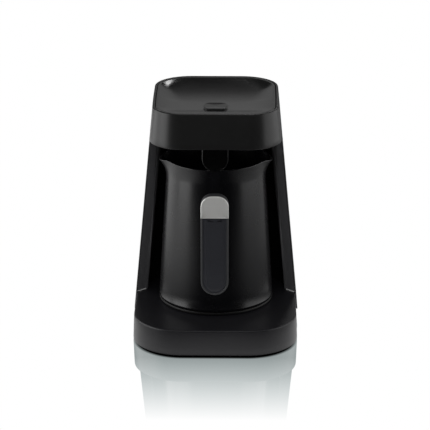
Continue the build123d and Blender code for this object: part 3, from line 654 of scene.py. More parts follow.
def makeLiner():
    # a U-shaped wall: its inner line, and the outer one a wall's thickness behind it
    b = bay
    a = np.radians(np.linspace(0.0, 90.0, 26))
    c, back = b["halfWidth"] - b["rearR"], b["backY"]
    # inner line of the right half: from the wing's front edge in along the 45 degree band, then back
    rows = 5        # of the band
    flare = (b["frontY"] - form["wingY"]) * np.linspace(1.0, 0.0, rows + 1)[:-1]
    band = np.stack([b["halfWidth"] + flare, b["frontY"] - flare], 1)
    # two points and blended normals round the bend between the band and the side wall
    bend = np.array([[b["halfWidth"] + 0.12, b["frontY"] - 0.12], [b["halfWidth"], b["frontY"] + 0.2]])
    corner = np.stack([c + b["rearR"] * np.cos(a), back - b["rearR"] + b["rearR"] * np.sin(a)], 1)
    line = np.concatenate([band, bend, corner])
    bandNormal = np.tile([1.0, 1.0], (rows, 1)) / np.sqrt(2.0)
    bendNormal = [[0.85, 0.4], [1.0, 0.05]]
    normal = np.concatenate([bandNormal, bendNormal, np.stack([np.cos(a), np.sin(a)], 1)])
    line, normal = bothSides(line, normal)
    z = np.concatenate([[b["bottomZ"]], np.linspace(b["bottomZ"] + b["bead"], b["topZ"], 24)])
    shift = form["draft"] * (z - b["deckZ"])
    # the draft moves every wall straight in, so the band keeps its slope as it rises
    lean = np.concatenate([normal[:, 0:1], np.where(normal[:, 1:2] > 0.98, 1.0, normal[:, 1:2])], 1)
    lean[:rows] = [1.0, 0.0]
    lean[-rows:] = [-1.0, 0.0]
    inner = line[:, None, :] - lean[:, None, :] * shift[None, :, None]
    outer = inner + normal[:, None, :] * b["wall"]
    # a bead along the foot of each band
    inner[:rows, 0] -= normal[:rows] * b["bead"]
    inner[-rows:, 0] -= normal[-rows:] * b["bead"]
    limit = formWidth(z)[None, :] - b["sideGap"]
    for side in (inner, outer):
        side[..., 0] = np.clip(side[..., 0], -limit, limit)
        side[..., 1] = np.maximum(side[..., 1], form["wingY"] + b["frontGap"])
    height = np.broadcast_to(z[None, :, None], (*inner.shape[:2], 1))
    inner = np.concatenate([inner, height], 2)
    outer = np.concatenate([outer, height], 2)[:, ::-1]
    grid = np.concatenate([inner, outer], 1)
    # the liner's near-black is partly painted shade
    piece = makePiece("bayLiner", [(grid, "bar")], "blackPaintedShade", "stand", ["bay_liner"])

    def choose(normals, centres):
        # the slanting bands beside the mouth, picked by their normals, are painted paler as lit faces, and
        # the upward faces of their beads paler still as a painted highlight
        band = (np.abs(normals[:, 1]) > 0.3) & (centres[:, 1] < (b["frontY"] + 0.1) * millimetre)
        return band.astype(int) + (band & (normals[:, 2] > 0.4))

    dressFaces(piece, ["wingPaintedLight", "beadPaintedHighlight"], choose)


makeLiner()
print("base, housing and liner made")


head = {"frontY": -65.5, "bottomZ": 198.6, "topZ": 232.9, "frontR": 33.5, "frontInset": 1.2,
        "bendR": 400.0, "wall": 2.6, "rim": 2.4, "groove": 0.6, "edgeR": 0.9, "footR": 0.9,
        "seamZ": 225.3, "ledge": 2.6, "ledgeDrop": 4.4, "ledgeFoot": 7.0, "rimDrop": 1.6, "rimEdge": 0.35,
        "sideRows": (204.0, 211.0, 218.0, 224.0), "topRow": 228.0, "innerTopZ": 224.0, "innerFootZ": 199.4}


def headOutline(extra=(), arcSteps=24):
    # the head's plan at its foot: two front corners, two slight bends at the wings, two rear corners
    h = head
    wide, back = formWidth(h["bottomZ"]), formBack(h["bottomZ"])
    narrow = wide - h["frontInset"]
    rearR = form["rearR"] - form["draft"] * h["bottomZ"]
    corners = [(-narrow, h["frontY"]), (narrow, h["frontY"]), (wide, form["wingY"]), (wide, back),
               (-wide, back), (-wide, form["wingY"])]
    radii = [h["frontR"], h["frontR"], h["bendR"], rearR, rearR, h["bendR"]]
    return roundedOutline(corners, radii, arcSteps, extra)


def headLean(z):
    # inset that grows with height by the draft
    return form["draft"] * (z - head["bottomZ"])


def makeHeadShell():
    # the skin's profile carried round the plan: foot, side, rounded top edge, ledge, inner side
    h = head
    top, bottom = h["topZ"], h["bottomZ"]
    seam = form["wingY"]
    outline = headOutline([(1, seam - 0.3), (1, seam - 0.1)])
    profile = [(headLean(bottom) + h["wall"], bottom)]
    profile += arcPoints((h["footR"], bottom + h["footR"]), h["footR"], 270, 180, 5)
    profile += [(headLean(z), z) for z in (*h["sideRows"], h["seamZ"], h["topRow"])]
    profile += arcPoints((headLean(top) + h["edgeR"], top - h["edgeR"]), h["edgeR"], 180, 90, 7)
    rim, e = headLean(top) + h["rim"], h["rimEdge"]
    profile += [(rim - e, top), (rim - 0.1, top - 0.1), (rim, top - e), (rim, top - h["rimDrop"])]
    profile += [(rim + h["ledge"], top - h["ledgeDrop"]), (rim + h["ledge"], top - h["ledgeFoot"])]
    profile += [(headLean(h["innerTopZ"]) + h["wall"], h["innerTopZ"]),
                (headLean(bottom) + h["wall"], h["innerFootZ"])]
    grid = carry(outline, profile)
    # behind the wings the wall stops at the seam over the housing, where it has leaned in as far
    behind = (grid[..., 1] > seam - 0.2) & (grid[..., 2] < h["seamZ"])
    lift = np.where(behind, h["seamZ"] - grid[..., 2], 0.0)
    grid[..., :2] -= outline[1][:, None, :] * (form["draft"] * lift)[..., None]
    grid[..., 2] += lift
    makePiece("headShell", [(grid, "ring")], "headPlastic", "stand", ["head_shell"])


panel = {
    "edgeDrop": 0.35, "border": 2.4, "sideRamp": 12.0, "frontRamp": 14.0,    # border, then the wall
    "depth": 4.9, "frontDepth": 0.5, "lowestY": 7.0, "frontY": -58.0, "backY": 74.0,
    "fallPower": 1.3, "risePower": 1.7, "wallPower": 2.2, "reach": 40.0,
    "step": 0.22, "stepStart": 2.2, "stepSoft": 0.3, "roll": 0.3, "holeRoll": 0.2,
    "buttonGap": 0.35, "underside": 4.2, "belly": 6.2,
}


def edgeDistance(plan, line):
    # how far each point of a plan lies from a closed line: the least distance to its straight runs
    runs = np.roll(line, -1, 0) - line
    toPoint = plan[..., None, :] - line
    along = np.clip((toPoint * runs).sum(-1) / np.maximum((runs * runs).sum(-1), 1e-9), 0.0, 1.0)
    return np.linalg.norm(toPoint - along[..., None] * runs, axis=-1).min(-1)


def panelHeight(distance, y):
    # the dish's floor falls gently from the front to its lowest line, then rises to the back like a
    # power curve; the wall beside the flat border is a power curve of the distance to the edge
    p = panel
    fall = np.clip((p["lowestY"] - y) / (p["lowestY"] - p["frontY"]), 0.0, 1.0) ** p["fallPower"]
    rise = np.clip((y - p["lowestY"]) / (p["backY"] - p["lowestY"]), 0.0, 1.0) ** p["risePower"]
    floorDepth = p["depth"] - (p["depth"] - p["frontDepth"]) * np.maximum(fall, rise)
    ramp = p["sideRamp"] + p["frontRamp"] * np.clip((p["reach"] - y) / p["reach"], 0.0, 1.0)
    t = np.clip((distance - p["border"]) / ramp, 0.0, 1.0)
    # towards the front a small step marks the border's inner edge
    step = p["step"] * np.clip((p["lowestY"] - y) / p["reach"], 0.0, 1.0)
    step *= np.clip((distance - p["stepStart"]) / p["stepSoft"], 0.0, 1.0)
    return head["topZ"] - p["edgeDrop"] - floorDepth * (1.0 - (1.0 - t) ** p["wallPower"]) - step


# the rounded square cap of the push button, its collar below and the shallow dish for a finger
button = {"half": 11.0, "cornerR": 5.0, "y": -27.5, "topZ": 232.0, "edge": 0.9, "dish": 0.45,
          "footDrop": 5.3, "collarDrop": 3.6, "collar": 2.0}


def squareOutline(grow, steps):
    # the button's rounded square, grown all round
    half, r = button["half"] + grow, button["cornerR"] + grow
    return roundedOutline(boxCorners(half, -half, half), [r] * 4, steps)


def buttonOutline(outline, grow):
    # the rounded square of the button, sampled at the angles of the panel's outline: the distance
    # along each ray is read off a fine copy of the square's line
    away = outline[0] - np.array([0.0, button["y"]])
    angle = np.arctan2(away[:, 1], away[:, 0])
    fine = squareOutline(grow, 24)[0]
    fineAngle = np.arctan2(fine[:, 1], fine[:, 0])
    order = np.argsort(fineAngle)
    distance = np.linalg.norm(fine, axis=1)
    reach = np.interp(angle, fineAngle[order], distance[order], period=2.0 * np.pi)
    return np.stack([reach * np.cos(angle), button["y"] + reach * np.sin(angle)], 1)


def makePanel():
    # rings that follow the edge, then rings blended in to the button's hole, then the underside
    p, h = panel, head
    outline = headOutline(arcSteps=30)
    start = headLean(h["topZ"]) + h["rim"] + h["groove"]
    insets = np.array([0.0, 0.25, 0.7, 1.5, 2.2, 2.5, 3.0, 3.8, 5.0, 6.6, 8.6, 11.0, 14.0])
    rings = outline[0][:, None, :] - outline[1][:, None, :] * (start + insets)[None, :, None]
    inner = buttonOutline(outline, p["buttonGap"])
    blend = np.array([0.08, 0.18, 0.3, 0.43, 0.56, 0.69, 0.81, 0.91, 0.985, 1.0])[None, :, None]
    middle = rings[:, -1:, :] * (1.0 - blend) + inner[:, None, :] * blend
    plan = np.concatenate([rings, middle], 1)
    height = panelHeight(edgeDistance(plan, rings[:, 0]), plan[..., 1])
    height[:, 0] -= p["roll"]          # rolled edge beside the groove
    height[:, -1] -= p["holeRoll"]     # and round the button's hole
    depths = np.array([p["underside"], p["belly"], p["belly"], p["underside"]])
    plan = np.concatenate([plan, inner[:, None, :], middle[:, 6:7], middle[:, 1:2], rings[:, :1]], 1)
    under = np.tile(h["topZ"] - depths, (len(inner), 1))
    grid = np.concatenate([plan, np.concatenate([height, under], 1)[..., None]], 2)
    makePiece("topPanel", [(grid, "ring")], "panelPlastic", "stand", ["top_panel"])


def makeButton():
    # pillow: rings of the rounded square drawn in to the middle, with a shallow finger dish
    b = button
    top, low, e = b["topZ"], b["topZ"] - b["footDrop"], b["edge"]
    outline = squareOutline(0.0, 14)
    profile = [(1.2, low), (-b["collar"], low), (-b["collar"], top - b["collarDrop"]),
               (0.0, top - b["collarDrop"] + 0.1), (0.0, top - e)]
    profile += arcPoints((e, top - e), e, 180, 90, 7)[1:]
    rim = carry(outline, profile)
    shrink = np.array([0.86, 0.7, 0.5, 0.3, 0.12, 0.0])[None, :, None]
    dish = top - b["dish"] * (1.0 - shrink ** 2)
    line = outline[0][:, None, :]
    face = np.concatenate([line * shrink, np.broadcast_to(dish, (len(line), 6, 1))], 2)
    foot = np.concatenate([line * 0.0, np.full((len(line), 1, 1), low)], 2)
    grid = np.concatenate([foot, rim, face], 1)
    grid[..., 1] += b["y"]
    makePiece("buttonCap", [(grid, "cushion")], "panelPlastic", "button", ["button_cap"])


nose = {"half": 12.5, "frontY": -62.0, "backY": -22.0, "bottomZ": 176.0, "topZ": 206.0, "edge": 0.8,
        "sideRows": (-52.0, -42.0, -32.0)}


def makeNose():
    # a U drawn in the XZ plane and run back from its rounded front edge
    n = nose
    arcZ = n["bottomZ"] + n["half"]
    a = np.radians(np.linspace(180.0, 360.0, 41))
    curve = np.stack([n["half"] * np.cos(a), arcZ + n["half"] * np.sin(a)], 1)
    normal = np.stack([np.cos(a), np.sin(a)], 1)
    rise = np.linspace(n["topZ"], arcZ, 6)[:-1]
    left = np.stack([np.full(5, -n["half"]), rise], 1)
    right = np.stack([np.full(5, n["half"]), rise[::-1]], 1)
    points = np.concatenate([left, curve, right])
    normals = np.concatenate([np.tile([-1.0, 0.0], (5, 1)), normal, np.tile([1.0, 0.0], (5, 1))])
    e = n["edge"]
    profile = arcPoints((e, n["frontY"] + e), e, 270, 180, 6)
    profile += [(0.0, y) for y in n["sideRows"]]
    profile += arcPoints((e, n["backY"] - e), e, 180, 90, 6)
    skin = carry((points, normals), profile, (0, 2, 1))
    # both faces close on the upright middle line
    middle = np.stack([np.zeros(len(points)), np.maximum(points[:, 1], arcZ)], 1)
    grid = closeEnds(skin, middle, (n["frontY"], [1.0, 0.6, 0.25]), (n["backY"], [0.25, 0.6, 1.0]))
    # its near-black finish is painted shade
    makePiece("sensorNose", [(grid, "cushion")], "nosePaintedShade", "stand", ["sensor_nose"])


makeHeadShell()
makePanel()
makeButton()
makeNose()
print("head made")


jug = {"footZ": 30.7, "footR": 57.0, "neckR": 48.7, "neckZ": 160.0, "rimR": 49.5, "rimZ": 174.4,
       "wall": 1.2, "cornerR": 2.5, "lipR": 0.6, "bareHeight": 12.0, "steps": 240,
       "plainTopZ": 140.0, "spoutRowsZ": 144.0,      # rows stand closer from here up
       "spoutReach": 9.8, "spoutAngle": 15.0, "spoutHeight": 24.0, "spoutFall": 20.0, "spoutPower": 2.5}


def jugRadius(z):
    # straight taper to the neck, then a parabola out to the rim
    j = jug
    straight = j["footR"] - (j["footR"] - j["neckR"]) * (z - j["footZ"]) / (j["neckZ"] - j["footZ"])
    rise = np.clip((z - j["neckZ"]) / (j["rimZ"] - j["neckZ"]), 0.0, 1.2)
    return np.where(z <= j["neckZ"], straight, j["neckR"] + (j["rimR"] - j["neckR"]) * rise ** 2)


def spoutSwell(z, beak):
    # how far a spout stands out: a power of the height, times the bell curve of the angle
    j = jug
    rise = np.clip(1.0 - (j["rimZ"] - z) / j["spoutHeight"], 0.0, 1.0)
    return j["spoutReach"] * rise ** j["spoutPower"] * beak


def makeJug():
    # profile turned round the axis; near +X and -X the wall swells by a bell curve of the angle, and
    # the lip falls along a plane that leans outwards from the rim
    j = jug
    c, wall, lipR, steps = j["cornerR"], j["wall"], j["lipR"], j["steps"]
    foot, rim = j["footZ"], j["rimZ"]
    outerZ = np.concatenate([np.linspace(foot + c, j["plainTopZ"], 12),
                             np.linspace(j["spoutRowsZ"], rim - 0.7, 22)])
    outer = list(zip(jugRadius(outerZ), outerZ))
    corner = arcPoints((j["footR"] - c - 0.1, foot + c), c, 270, 358, 8)
    lip = arcPoints((float(jugRadius(np.array(rim - lipR))) - lipR, rim - lipR), lipR, 0, 180, 9)
    innerZ = outerZ[::-1]
    inner = list(zip(jugRadius(innerZ) - wall, innerZ))
    innerCorner = arcPoints((j["footR"] - c - 0.1, foot + c), c - wall, 358, 270, 6)
    floor = [(r, foot + wall) for r in (40.0, 25.0, 10.0, 0.0)]
    under = [(r, foot) for r in (0.0, 20.0, 40.0)]
    profile = np.array(under + corner + outer + lip + inner + innerCorner + floor)
    grid = lathe(profile, (0.0, 0.0), steps)
    angle = np.degrees(np.linspace(0.0, 2.0 * np.pi, steps, endpoint=False))[:, None]
    offAxis = np.abs((angle + 90.0) % 180.0 - 90.0)
    beak = np.exp(-(offAxis / j["spoutAngle"]) ** 2)
    lipZ = np.full((steps, 1), rim)
    for _ in range(6):       # the lip's height and the swell there depend on each other
        reach = (jugRadius(lipZ) + spoutSwell(lipZ, beak)) * np.cos(np.radians(offAxis))
        out = reach - (j["rimR"] - 1.0)
        lipZ = rim - np.maximum(out, 0.0) * np.tan(np.radians(j["spoutFall"]))
    bare = j["bareHeight"]
    share = np.clip((grid[..., 2] - (rim - bare)) / bare, 0.0, 1.0)
    z = grid[..., 2] - (rim - lipZ) * share
    radius = np.linalg.norm(grid[..., :2], axis=2)
    moved = radius + jugRadius(z) - jugRadius(grid[..., 2]) + spoutSwell(z, beak)
    moved = np.where(grid[..., 2] > foot + c, moved, radius)
    grid[..., :2] *= (moved / np.maximum(radius, 1e-6))[..., None]
    grid[..., 2] = z
    grid[..., 1] += jugAxisY
    piece = makePiece("jugBody", [(grid, "cushion")], "jugCoating", "jug", ["jug_body"])
    # the coating stops at the lip, where the steel is bare: faces that point up near the lip's height
    zone = (rim - bare) * millimetre
    dressFaces(piece, ["bareLip"], lambda normals, centres: (normals[:, 2] > 0.6) & (centres[:, 2] > zone))


footRing = {"lowZ": 27.9, "highZ": 30.3, "outerR": 56.6, "innerR": 50.4, "edge": 0.7}


def makeFootRing():
    # a ring with two rounded outer edges, turned round the jug's axis
    f = footRing
    e = f["edge"]
    profile = arcPoints((f["outerR"] - e, f["lowZ"] + e), e, 270, 360, 6)
    profile += arcPoints((f["outerR"] - e, f["highZ"] - e), e, 0, 90, 6)
    profile += [(f["innerR"], f["highZ"]), (f["innerR"], f["lowZ"])]
    grid = lathe(profile, (0.0, jugAxisY), 144)
    # the ring's near-black is partly painted shade under the jug
    makePiece("jugFootRing", [(grid, "ring")], "blackPaintedShade", "jug", ["jug_base_ring"])


makeJug()
makeFootRing()
print("jug made")


handle = {"frontY": -97.5, "thick": 11.5, "half": 13.2, "lowZ": 63.4, "highZ": 162.7, "archR": 10.5,
          "bezel": 1.9, "pocket": 2.2, "sink": 0.3, "capZ": 140.9, "capThick": 1.8, "edge": 1.5,
          "armHalf": 10.5, "armTopZ": 148.0, "armLowZ": 129.0, "armRise": 6.0, "armDrop": 1.6,
          "armRoot": 49.9, "shoulderR": 5.0, "bellyR": 1.5, "crookR": 9.0,
          "gripGap": 0.12, "capGap": 0.05, "gripTop": 0.4}


def strapOutline():
    # the strap from the front: a round lower end and a flattened arch on top
    s = handle
    w = s["half"]
    radii = [w - 0.05, w - 0.05, s["archR"], s["archR"]]
    levels = [(1, s["capZ"] - 0.1), (1, s["capZ"])]
    return roundedOutline(boxCorners(w, s["lowZ"], s["highZ"]), radii, 22, levels)


def makeHandleFrame():
    # the strap's edge carried round its outline, closed at the back and at the pocket's floor
    s = handle
    points, normals = strapOutline()
    front, back, e, capZ = s["frontY"], s["frontY"] + s["thick"], s["edge"], s["capZ"]
    profile = arcPoints((e, back - e), e, 90, 180, 6)
    profile += [(0.0, back - 4.0), (0.0, front + 4.0)]
    profile += arcPoints((1.0, front + 1.0), 1.0, 180, 270, 6)
    profile += [(s["bezel"] - 0.2, front), (s["bezel"], front + 0.2), (s["bezel"], front + s["pocket"])]
    grid = carry((points, normals), profile, (0, 2, 1))
    middleZ = np.clip(points[:, 1], s["lowZ"] + s["half"], s["highZ"] - s["half"])
    middle = np.stack([np.zeros(len(points)), middleZ], 1)
    grid = closeEnds(grid, middle, (back, [1.0, 0.65, 0.3]), (front + s["pocket"], [0.3, 0.65, 1.0]))
    # the brushed cap lies on a seat cut into the top of the strap
    seat = front + s["capThick"] + s["capGap"]
    grid[..., 1] = np.where(grid[..., 2] > capZ - s["capGap"], np.maximum(grid[..., 1], seat), grid[..., 1])
    makePiece("handleFrame", [(grid, "cushion"), (armGrid(), "bar")], "handlePlastic", "jug",
              ["handle_frame"])


def armGrid():
    # the arm: side line of top and underside, swept in width with rounded upper edges
    s = handle
    back = s["frontY"] + s["thick"]
    root = jugAxisY - s["armRoot"]
    y = np.linspace(back - 1.5, root, 22)
    t = np.clip((y - back) / (root - back), 0.0, 1.0)
    top = s["highZ"] - s["armDrop"] + (s["armTopZ"] - s["highZ"] + s["armDrop"]) * t
    near = 1.0 - np.clip((y - back) / s["crookR"], 0.0, 1.0)
    crook = s["crookR"] * (1.0 - np.sqrt(1.0 - near ** 2))
    low = s["armLowZ"] + s["armRise"] * (1.0 - t) - crook
    w, r, r2 = s["armHalf"], s["shoulderR"], s["bellyR"]
    # section: round shoulders on top, small radius below, in units of half width and height
    a = np.radians(np.linspace(0.0, 90.0, 8))
    b = np.radians(np.linspace(0.0, 90.0, 4))
    upperRight = np.stack([w - r + r * np.cos(a), -r + r * np.sin(a)], 1)
    upperLeft = upperRight[::-1] * [-1.0, 1.0]
    lowerRight = np.stack([w - r2 + r2 * np.sin(b), r2 - r2 * np.cos(b)], 1)
    lowerLeft = lowerRight[::-1] * [-1.0, 1.0]
    upper = np.concatenate([upperRight, upperLeft])
    lower = np.concatenate([lowerLeft, lowerRight])
    grid = np.empty((len(y), len(upper) + len(lower), 3))
    grid[:, :len(upper), 0], grid[:, len(upper):, 0] = upper[:, 0], lower[:, 0]
    grid[:, :len(upper), 2] = top[:, None] + upper[:, 1]
    grid[:, len(upper):, 2] = low[:, None] + lower[:, 1]
    grid[..., 1] = y[:, None]
    # the end follows the jug's round wall
    wall = jugAxisY - np.sqrt(jugRadius(grid[-1, :, 2]) ** 2 - grid[-1, :, 0] ** 2) - 0.3
    grid[-1, :, 1] = wall
    grid[-2, :, 1] = np.minimum(grid[-2, :, 1], wall - 0.6)
    grid[-3, :, 1] = np.minimum(grid[-3, :, 1], wall - 1.6)
    return grid


def makeCap():
    # a thin plate with a rolled front edge, closed front and back on its centre
    s = handle
    w, low = s["half"], s["capZ"] + s["capGap"]
    points, normals = roundedOutline(boxCorners(w, low, s["highZ"]), [0.5, 0.5, s["archR"], s["archR"]], 20)
    front, back = s["frontY"], s["frontY"] + s["capThick"]
    profile = [(0.3, back), (0.0, back - 0.3), (0.0, front + 0.55), (0.12, front + 0.3),
               (0.45, front + 0.02), (0.8, front)]
    grid = carry((points, normals), profile, (0, 2, 1))
    centre = np.tile([0.0, (low + s["highZ"]) / 2], (len(points), 1))
    grid = closeEnds(grid, centre, (back, [1.0, 0.6, 0.3]), (front, [0.15, 0.4, 0.7, 1.0]))
    makePiece("handleCap", [(grid, "cushion")], "brushedCap", "jug", ["handle_accent"])


def makeGrip():
    # the pad in its pocket, with a fine groove just inside its edge
    s = handle
    gap = s["gripGap"]
    w, low, high = s["half"] - s["bezel"] - gap, s["lowZ"] + s["bezel"] + gap, s["capZ"] - s["gripTop"] - gap
    points, normals = roundedOutline(boxCorners(w, low, high), [w - 0.05, w - 0.05, 0.4, 0.4], 22)
    front, back = s["frontY"] + s["sink"], s["frontY"] + s["pocket"]
    profile = [(0.0, back), (0.0, front + 0.6), (0.1, front + 0.3), (0.4, front + 0.1), (0.8, front + 0.1),
               (1.2, front + 0.3), (1.5, front + 0.3), (2.0, front + 0.05)]
    grid = carry((points, normals), profile, (0, 2, 1))
    middle = np.stack([np.zeros(len(points)), np.clip(points[:, 1], low + w, high - 3.0)], 1)
    grid = closeEnds(grid, middle, (back, [1.0, 0.5]), (front, [0.25, 0.6, 1.0]))
    makePiece("gripPad", [(grid, "cushion")], "gripRubber", "jug", ["handle_grip"])


makeHandleFrame()
makeCap()
makeGrip()
print("handle made")


feet = {"x": (-58.0, 58.0), "y": (-72.0, 66.0), "groundR": 5.4, "r": 7.0, "edge": 0.8, "height": 2.7}


def makeFeet():
    # four turned feet, rounded at the ground
    f = feet
    profile = [(0.0, 0.0), (f["groundR"], 0.0)]
    profile += arcPoints((f["r"] - f["edge"], f["edge"]), f["edge"], 270, 360, 5)
    profile += [(f["r"], f["height"]), (0.0, f["height"])]
    grids = [(lathe(profile, (x, y), 40), "cushion") for x in f["x"] for y in f["y"]]
    makePiece("rubberFeet", grids, "blackRubber", "stand", ["rubber_feet"])


plate = {"topZ": 27.7, "bottomZ": 22.7, "r": 46.0, "edge": 0.5, "holeR": 4.2, "grooves": (41.0, 20.0)}


def makeHeatingPlate():
    # cast plate with a stepped edge and two shallow turned grooves in its face
    p = plate
    top, r, e = p["topZ"], p["r"], p["edge"]
    profile = [(p["holeR"], p["bottomZ"]), (r, p["bottomZ"]), (r, top - e)]
    profile += arcPoints((r - e, top - e), e, 0, 90, 4)
    for g in p["grooves"]:
        profile += [(g + 0.6, top), (g + 0.2, top - 0.3), (g - 0.2, top - 0.3), (g - 0.6, top)]
    profile += [(p["holeR"] + 0.6, top), (p["holeR"], top - 0.5)]
    grid = lathe(profile, (0.0, jugAxisY), 128)
    makePiece("heatingPlate", [(grid, "ring")], "turnedPlate", "stand", ["heating_plate"])


gland = {"z": housing["glandZ"], "boreR": 3.4, "bodyR": 7.0, "flangeR": 9.5, "length": 14.2, "proud": 0.2}


def makeGland():
    # stepped sleeve on an axis along Y: profile of (radius, y) turned round it
    g = gland
    bore, body, flange = g["boreR"], g["bodyR"], g["flangeR"]
    outside = formBack(g["z"] - flange) + g["proud"]
    start = outside - g["length"]
    profile = [(bore, start), (body, start), (body, outside), (flange, outside), (flange, outside + 0.9)]
    profile += arcPoints((flange - 0.8, outside + 1.0), 0.8, 0, 90, 5)
    profile += [(5.6, outside + 1.8), (4.4, outside + 1.5), (3.6, outside + 1.0), (bore, outside + 0.4)]
    grid = lathe(profile, (0.0, 0.0), 64)
    turned = np.stack([grid[..., 0], grid[..., 2], g["z"] + grid[..., 1]], 2)
    makePiece("cordGland", [(turned, "ring")], "blackRubber", "stand", ["cord_gland"])


makeFeet()
makeHeatingPlate()
makeGland()

# the finishes of the nodes that stay as they are
stayingFinishes = {
    "basePlastic": "base_plate",
    # the head floor's near-black is partly painted shade under the head
    "blackPaintedShade": "head_floor",
    "blackRubber": "plate_seal",
    "zincSteel": "base_screws carrier_screws housing_screws board_screws control_screws head_screws "
                 "handle_screws handle_bracket plate_carrier heater_element element_terminals thermal_fuse",
    "castAluminium": "temperature_sensor heatsink capacitor jug_base_disc",
    "darkCase": "thermostat terminal_block gland_nut relay transformer buzzer switch_plunger tact_switch",
    "circuitBoard": "power_board control_board sensor_board",
    "sensorGlass": "sensor_lens",
    "lightPipe": "light_guide",
    "leadSleeve": "wire_loom heater_leads",
}
staying = [(name, finish) for finish, names in stayingFinishes.items() for name in names.split()]
for nodeName, finishName in staying:
    node = nodes[nodeName]
    node.data.materials.clear()
    node.data.materials.append(finishes[finishName])
print("nodes finished:", len(staying))


stage = {
    "floorHalf": 6.0,
    "mirrorNear": -0.100, "mirrorFar": -0.2434,     # the floor's shine fades between these depths
    "mirrorShare": 0.69, "redLoss": 0.17,           # and its picture of the object is a little blue
    "shadowHalf": (0.0810, 0.1027), "shadowCentre": -0.0015, "shadowSoft": 0.0035, "shadowR": 0.05,
    "poolNear": 0.130, "poolFar": 0.180,            # gloss sees the floor white this near
    "sheetNear": 0.13, "sheetFar": 0.38, "sheetEnd": 0.75, "sheetFront": -0.48,
    "sheetLeft": 0.95, "sheetRight": 0.38, "sheetSoft": 0.15, "frontSoft": 0.2,
    "worldFill": 0.34,                              # what matt surfaces get from all round
    "glossFloor": 0.01, "glossWorld": 0.02, "windowGloss": 0.275,
    "windowTurn": 0.50, "windowLow": 0.10, "windowHigh": 0.345,    # pale window low behind the object
    "softSide": 0.12, "softLow": 0.1, "softHigh": 0.04, "softBack": 0.1,
    "paper": (0.8, 0.8, 0.8, 1.0),
}
white = (1.0, 1.0, 1.0, 1.0)


def sheetLight(graph, across, depth):
    # two white sheets beside the object: brightness by the distance from x = 0, cut off at both ends
    near, far, end, soft = (stage[key] for key in ("sheetNear", "sheetFar", "sheetEnd", "sheetSoft"))
    left = graph.clampRange(across, -far, -near, stage["sheetLeft"], 0.0)
    left = left * graph.clampRange(across, -end, -end + soft)
    right = graph.clampRange(across, near, far, 0.0, stage["sheetRight"])
    right = right * graph.clampRange(across, end - soft, end, 1.0, 0.0)
    front = stage["sheetFront"]
    return (left + right) * graph.clampRange(depth, front, front + stage["frontSoft"])


def shadowClear(graph, place):
    # mask of the painted shadow: distance to a rounded box, as the length of the part of |p| - (half - r)
    # above zero: 0 inside the box where the object stands, 1 outside
    (wide, deep), r = stage["shadowHalf"], stage["shadowR"]
    centred = graph.vector("SUBTRACT", place, (0.0, stage["shadowCentre"], 0.0))
    past = graph.vector("SUBTRACT", graph.vector("ABSOLUTE", centred), (wide - r, deep - r, 0.0))
    edge = graph.vector("LENGTH", graph.vector("MAXIMUM", past, (0.0, 0.0, 0.0)), None, "Value")
    return graph.clampRange(edge, r - stage["shadowSoft"], r)


def makeFloor():
    # paper to matt rays; to the camera white, with a mirror that fades towards the front and a painted
    # shadow, a dark rounded box where the object stands; to gloss a round pool of light and two sheets
    half = stage["floorHalf"]
    mesh = bpy.data.meshes.new("floor")
    mesh.from_pydata([(x, y, 0.0) for x, y in boxCorners(half, -half, half)], [], [(0, 1, 2, 3)])
    material, graph = newFinish("floorSheet")
    place = graph.add("ShaderNodeTexCoord", output="Object")
    across, depth = graph.part(place, "X"), graph.part(place, "Y")
    fade = graph.clampRange(depth, stage["mirrorFar"], stage["mirrorNear"], 0.0, stage["mirrorShare"])
    away = graph.vector("LENGTH", place, None, "Value")
    pool = graph.clampRange(away, stage["poolNear"], stage["poolFar"], 1.0, stage["glossFloor"])
    pool = graph.larger(pool, sheetLight(graph, across, depth))
    ray, glossyRay = graph.isRay("Camera"), graph.isRay("Glossy")
    paper = graph.add("ShaderNodeBsdfDiffuse", {}, {"Color": stage["paper"]})
    # the sheet loses red and the mirror gains it, so that white in the mirror stays white
    loss = stage["redLoss"]
    tone = graph.mixColour(fade * ray, white, (1.0 - loss, 1.0, 1.0, 1.0))
    shine = graph.mixColour(fade, (1.0 + loss, 1.0, 1.0, 1.0), white)
    strength = shadowClear(graph, place) * (ray + pool * (1.0 - ray))
    glow = graph.add("ShaderNodeEmission", {}, {"Color": tone, "Strength": strength})
    mirror = graph.add("ShaderNodeBsdfGlossy", {}, {"Color": shine, "Roughness": 0.0})
    seen = graph.add("ShaderNodeMixShader", {}, {0: fade * ray, 1: glow, 2: mirror})
    both = graph.add("ShaderNodeMixShader", {}, {0: graph.larger(ray, glossyRay), 1: paper, 2: seen})
    graph.add("ShaderNodeOutputMaterial", {}, {"Surface": both})
    mesh.materials.append(material)
    floor = bpy.data.objects.new("floor", mesh)
    bpy.context.scene.collection.objects.link(floor)


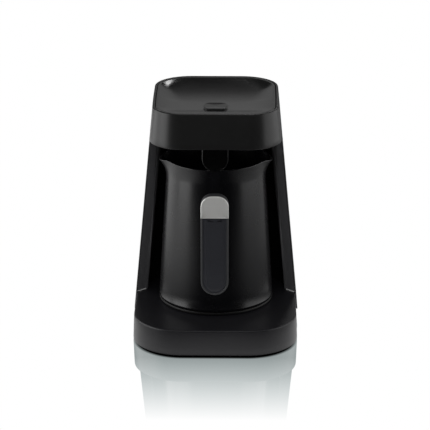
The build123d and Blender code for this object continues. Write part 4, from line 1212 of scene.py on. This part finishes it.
def makeWorld():
    # white to the camera and in the floor's shine, whose rays are the only singular ones; gloss sees a
    # pale window low behind the object and dark all round it
    world = bpy.data.worlds.new("studio")
    world.use_nodes = True
    graph = Finish(world.node_tree)
    ray = graph.larger(graph.isRay("Camera"), graph.isRay("Singular"))
    direction = graph.add("ShaderNodeTexCoord", output="Generated")
    x, y, z = (graph.part(direction, axis) for axis in "XYZ")
    side = graph.add("ShaderNodeMath", {"operation": "ABSOLUTE"}, {0: x})
    turn, low, high = stage["windowTurn"], stage["windowLow"], stage["windowHigh"]
    window = graph.clampRange(side, turn, turn + stage["softSide"], 1.0, 0.0)
    window = window * graph.clampRange(y, 0.0, stage["softBack"])
    window = window * graph.clampRange(z, high, high + stage["softHigh"], 1.0, 0.0)
    window = window * graph.clampRange(z, low - stage["softLow"], low)
    gloss = stage["glossWorld"] + (stage["windowGloss"] - stage["glossWorld"]) * window
    fill = stage["worldFill"] + (gloss - stage["worldFill"]) * graph.isRay("Glossy")
    strength = ray + fill * (1.0 - ray)
    sky = graph.add("ShaderNodeBackground", {}, {"Color": white, "Strength": strength})
    graph.add("ShaderNodeOutputWorld", {}, {"Surface": sky})
    bpy.context.scene.world = world


def lamp(place, aim, size, radiance, matt=True, gloss=True):
    # radiance 1 is white; a lamp shows in matt surfaces, in gloss, or in both
    return {"place": place, "aim": aim, "size": size, "radiance": radiance, "matt": matt, "gloss": gloss}


lamps = {
    "leftBox": lamp((-0.60, -0.20, 0.27), (0.0, -0.05, 0.15), (0.40, 0.56), 2.5),
    "leftFill": lamp((-0.64, 0.22, 0.27), (0.0, 0.0, 0.15), (0.40, 0.56), 1.8),
    "rightBox": lamp((0.66, -0.10, 0.27), (0.0, -0.03, 0.15), (0.62, 0.56), 1.3),
    "rightFill": lamp((0.68, 0.36, 0.27), (0.0, 0.0, 0.15), (0.40, 0.56), 1.1),
    "topBox": lamp((0.0, -0.4, 1.6), (0.0, 0.0, 0.1), (1.2, 0.8), 1.2),
    "frontFill": lamp((0.0, -2.2, 1.0), (0.0, 0.0, 0.12), (1.8, 1.2), 5.0, gloss=False),
    "rearStrip": lamp((0.18, 1.14, 1.005), (-0.05, 0.06, 0.23), (0.16, 0.22), 7.0, matt=False),
}


def makeLamps():
    # area lamps aimed at a point, each with energy = radiance * pi * area
    for name, look in lamps.items():
        data = bpy.data.lights.new(name, "AREA")
        data.shape, data.size, data.size_y = "RECTANGLE", *look["size"]
        data.energy = look["radiance"] * np.pi * look["size"][0] * look["size"][1]
        light = bpy.data.objects.new(name, data)
        light.visible_camera = False
        light.visible_diffuse, light.visible_glossy = look["matt"], look["gloss"]
        light.location = look["place"]
        direction = Vector(look["aim"]) - Vector(look["place"])
        light.rotation_mode = "QUATERNION"
        light.rotation_quaternion = direction.to_track_quat("-Z", "Y")
        bpy.context.scene.collection.objects.link(light)


makeFloor()
makeWorld()
makeLamps()
bpy.context.scene.view_settings.view_transform = "Standard"
print("stage and light ready")
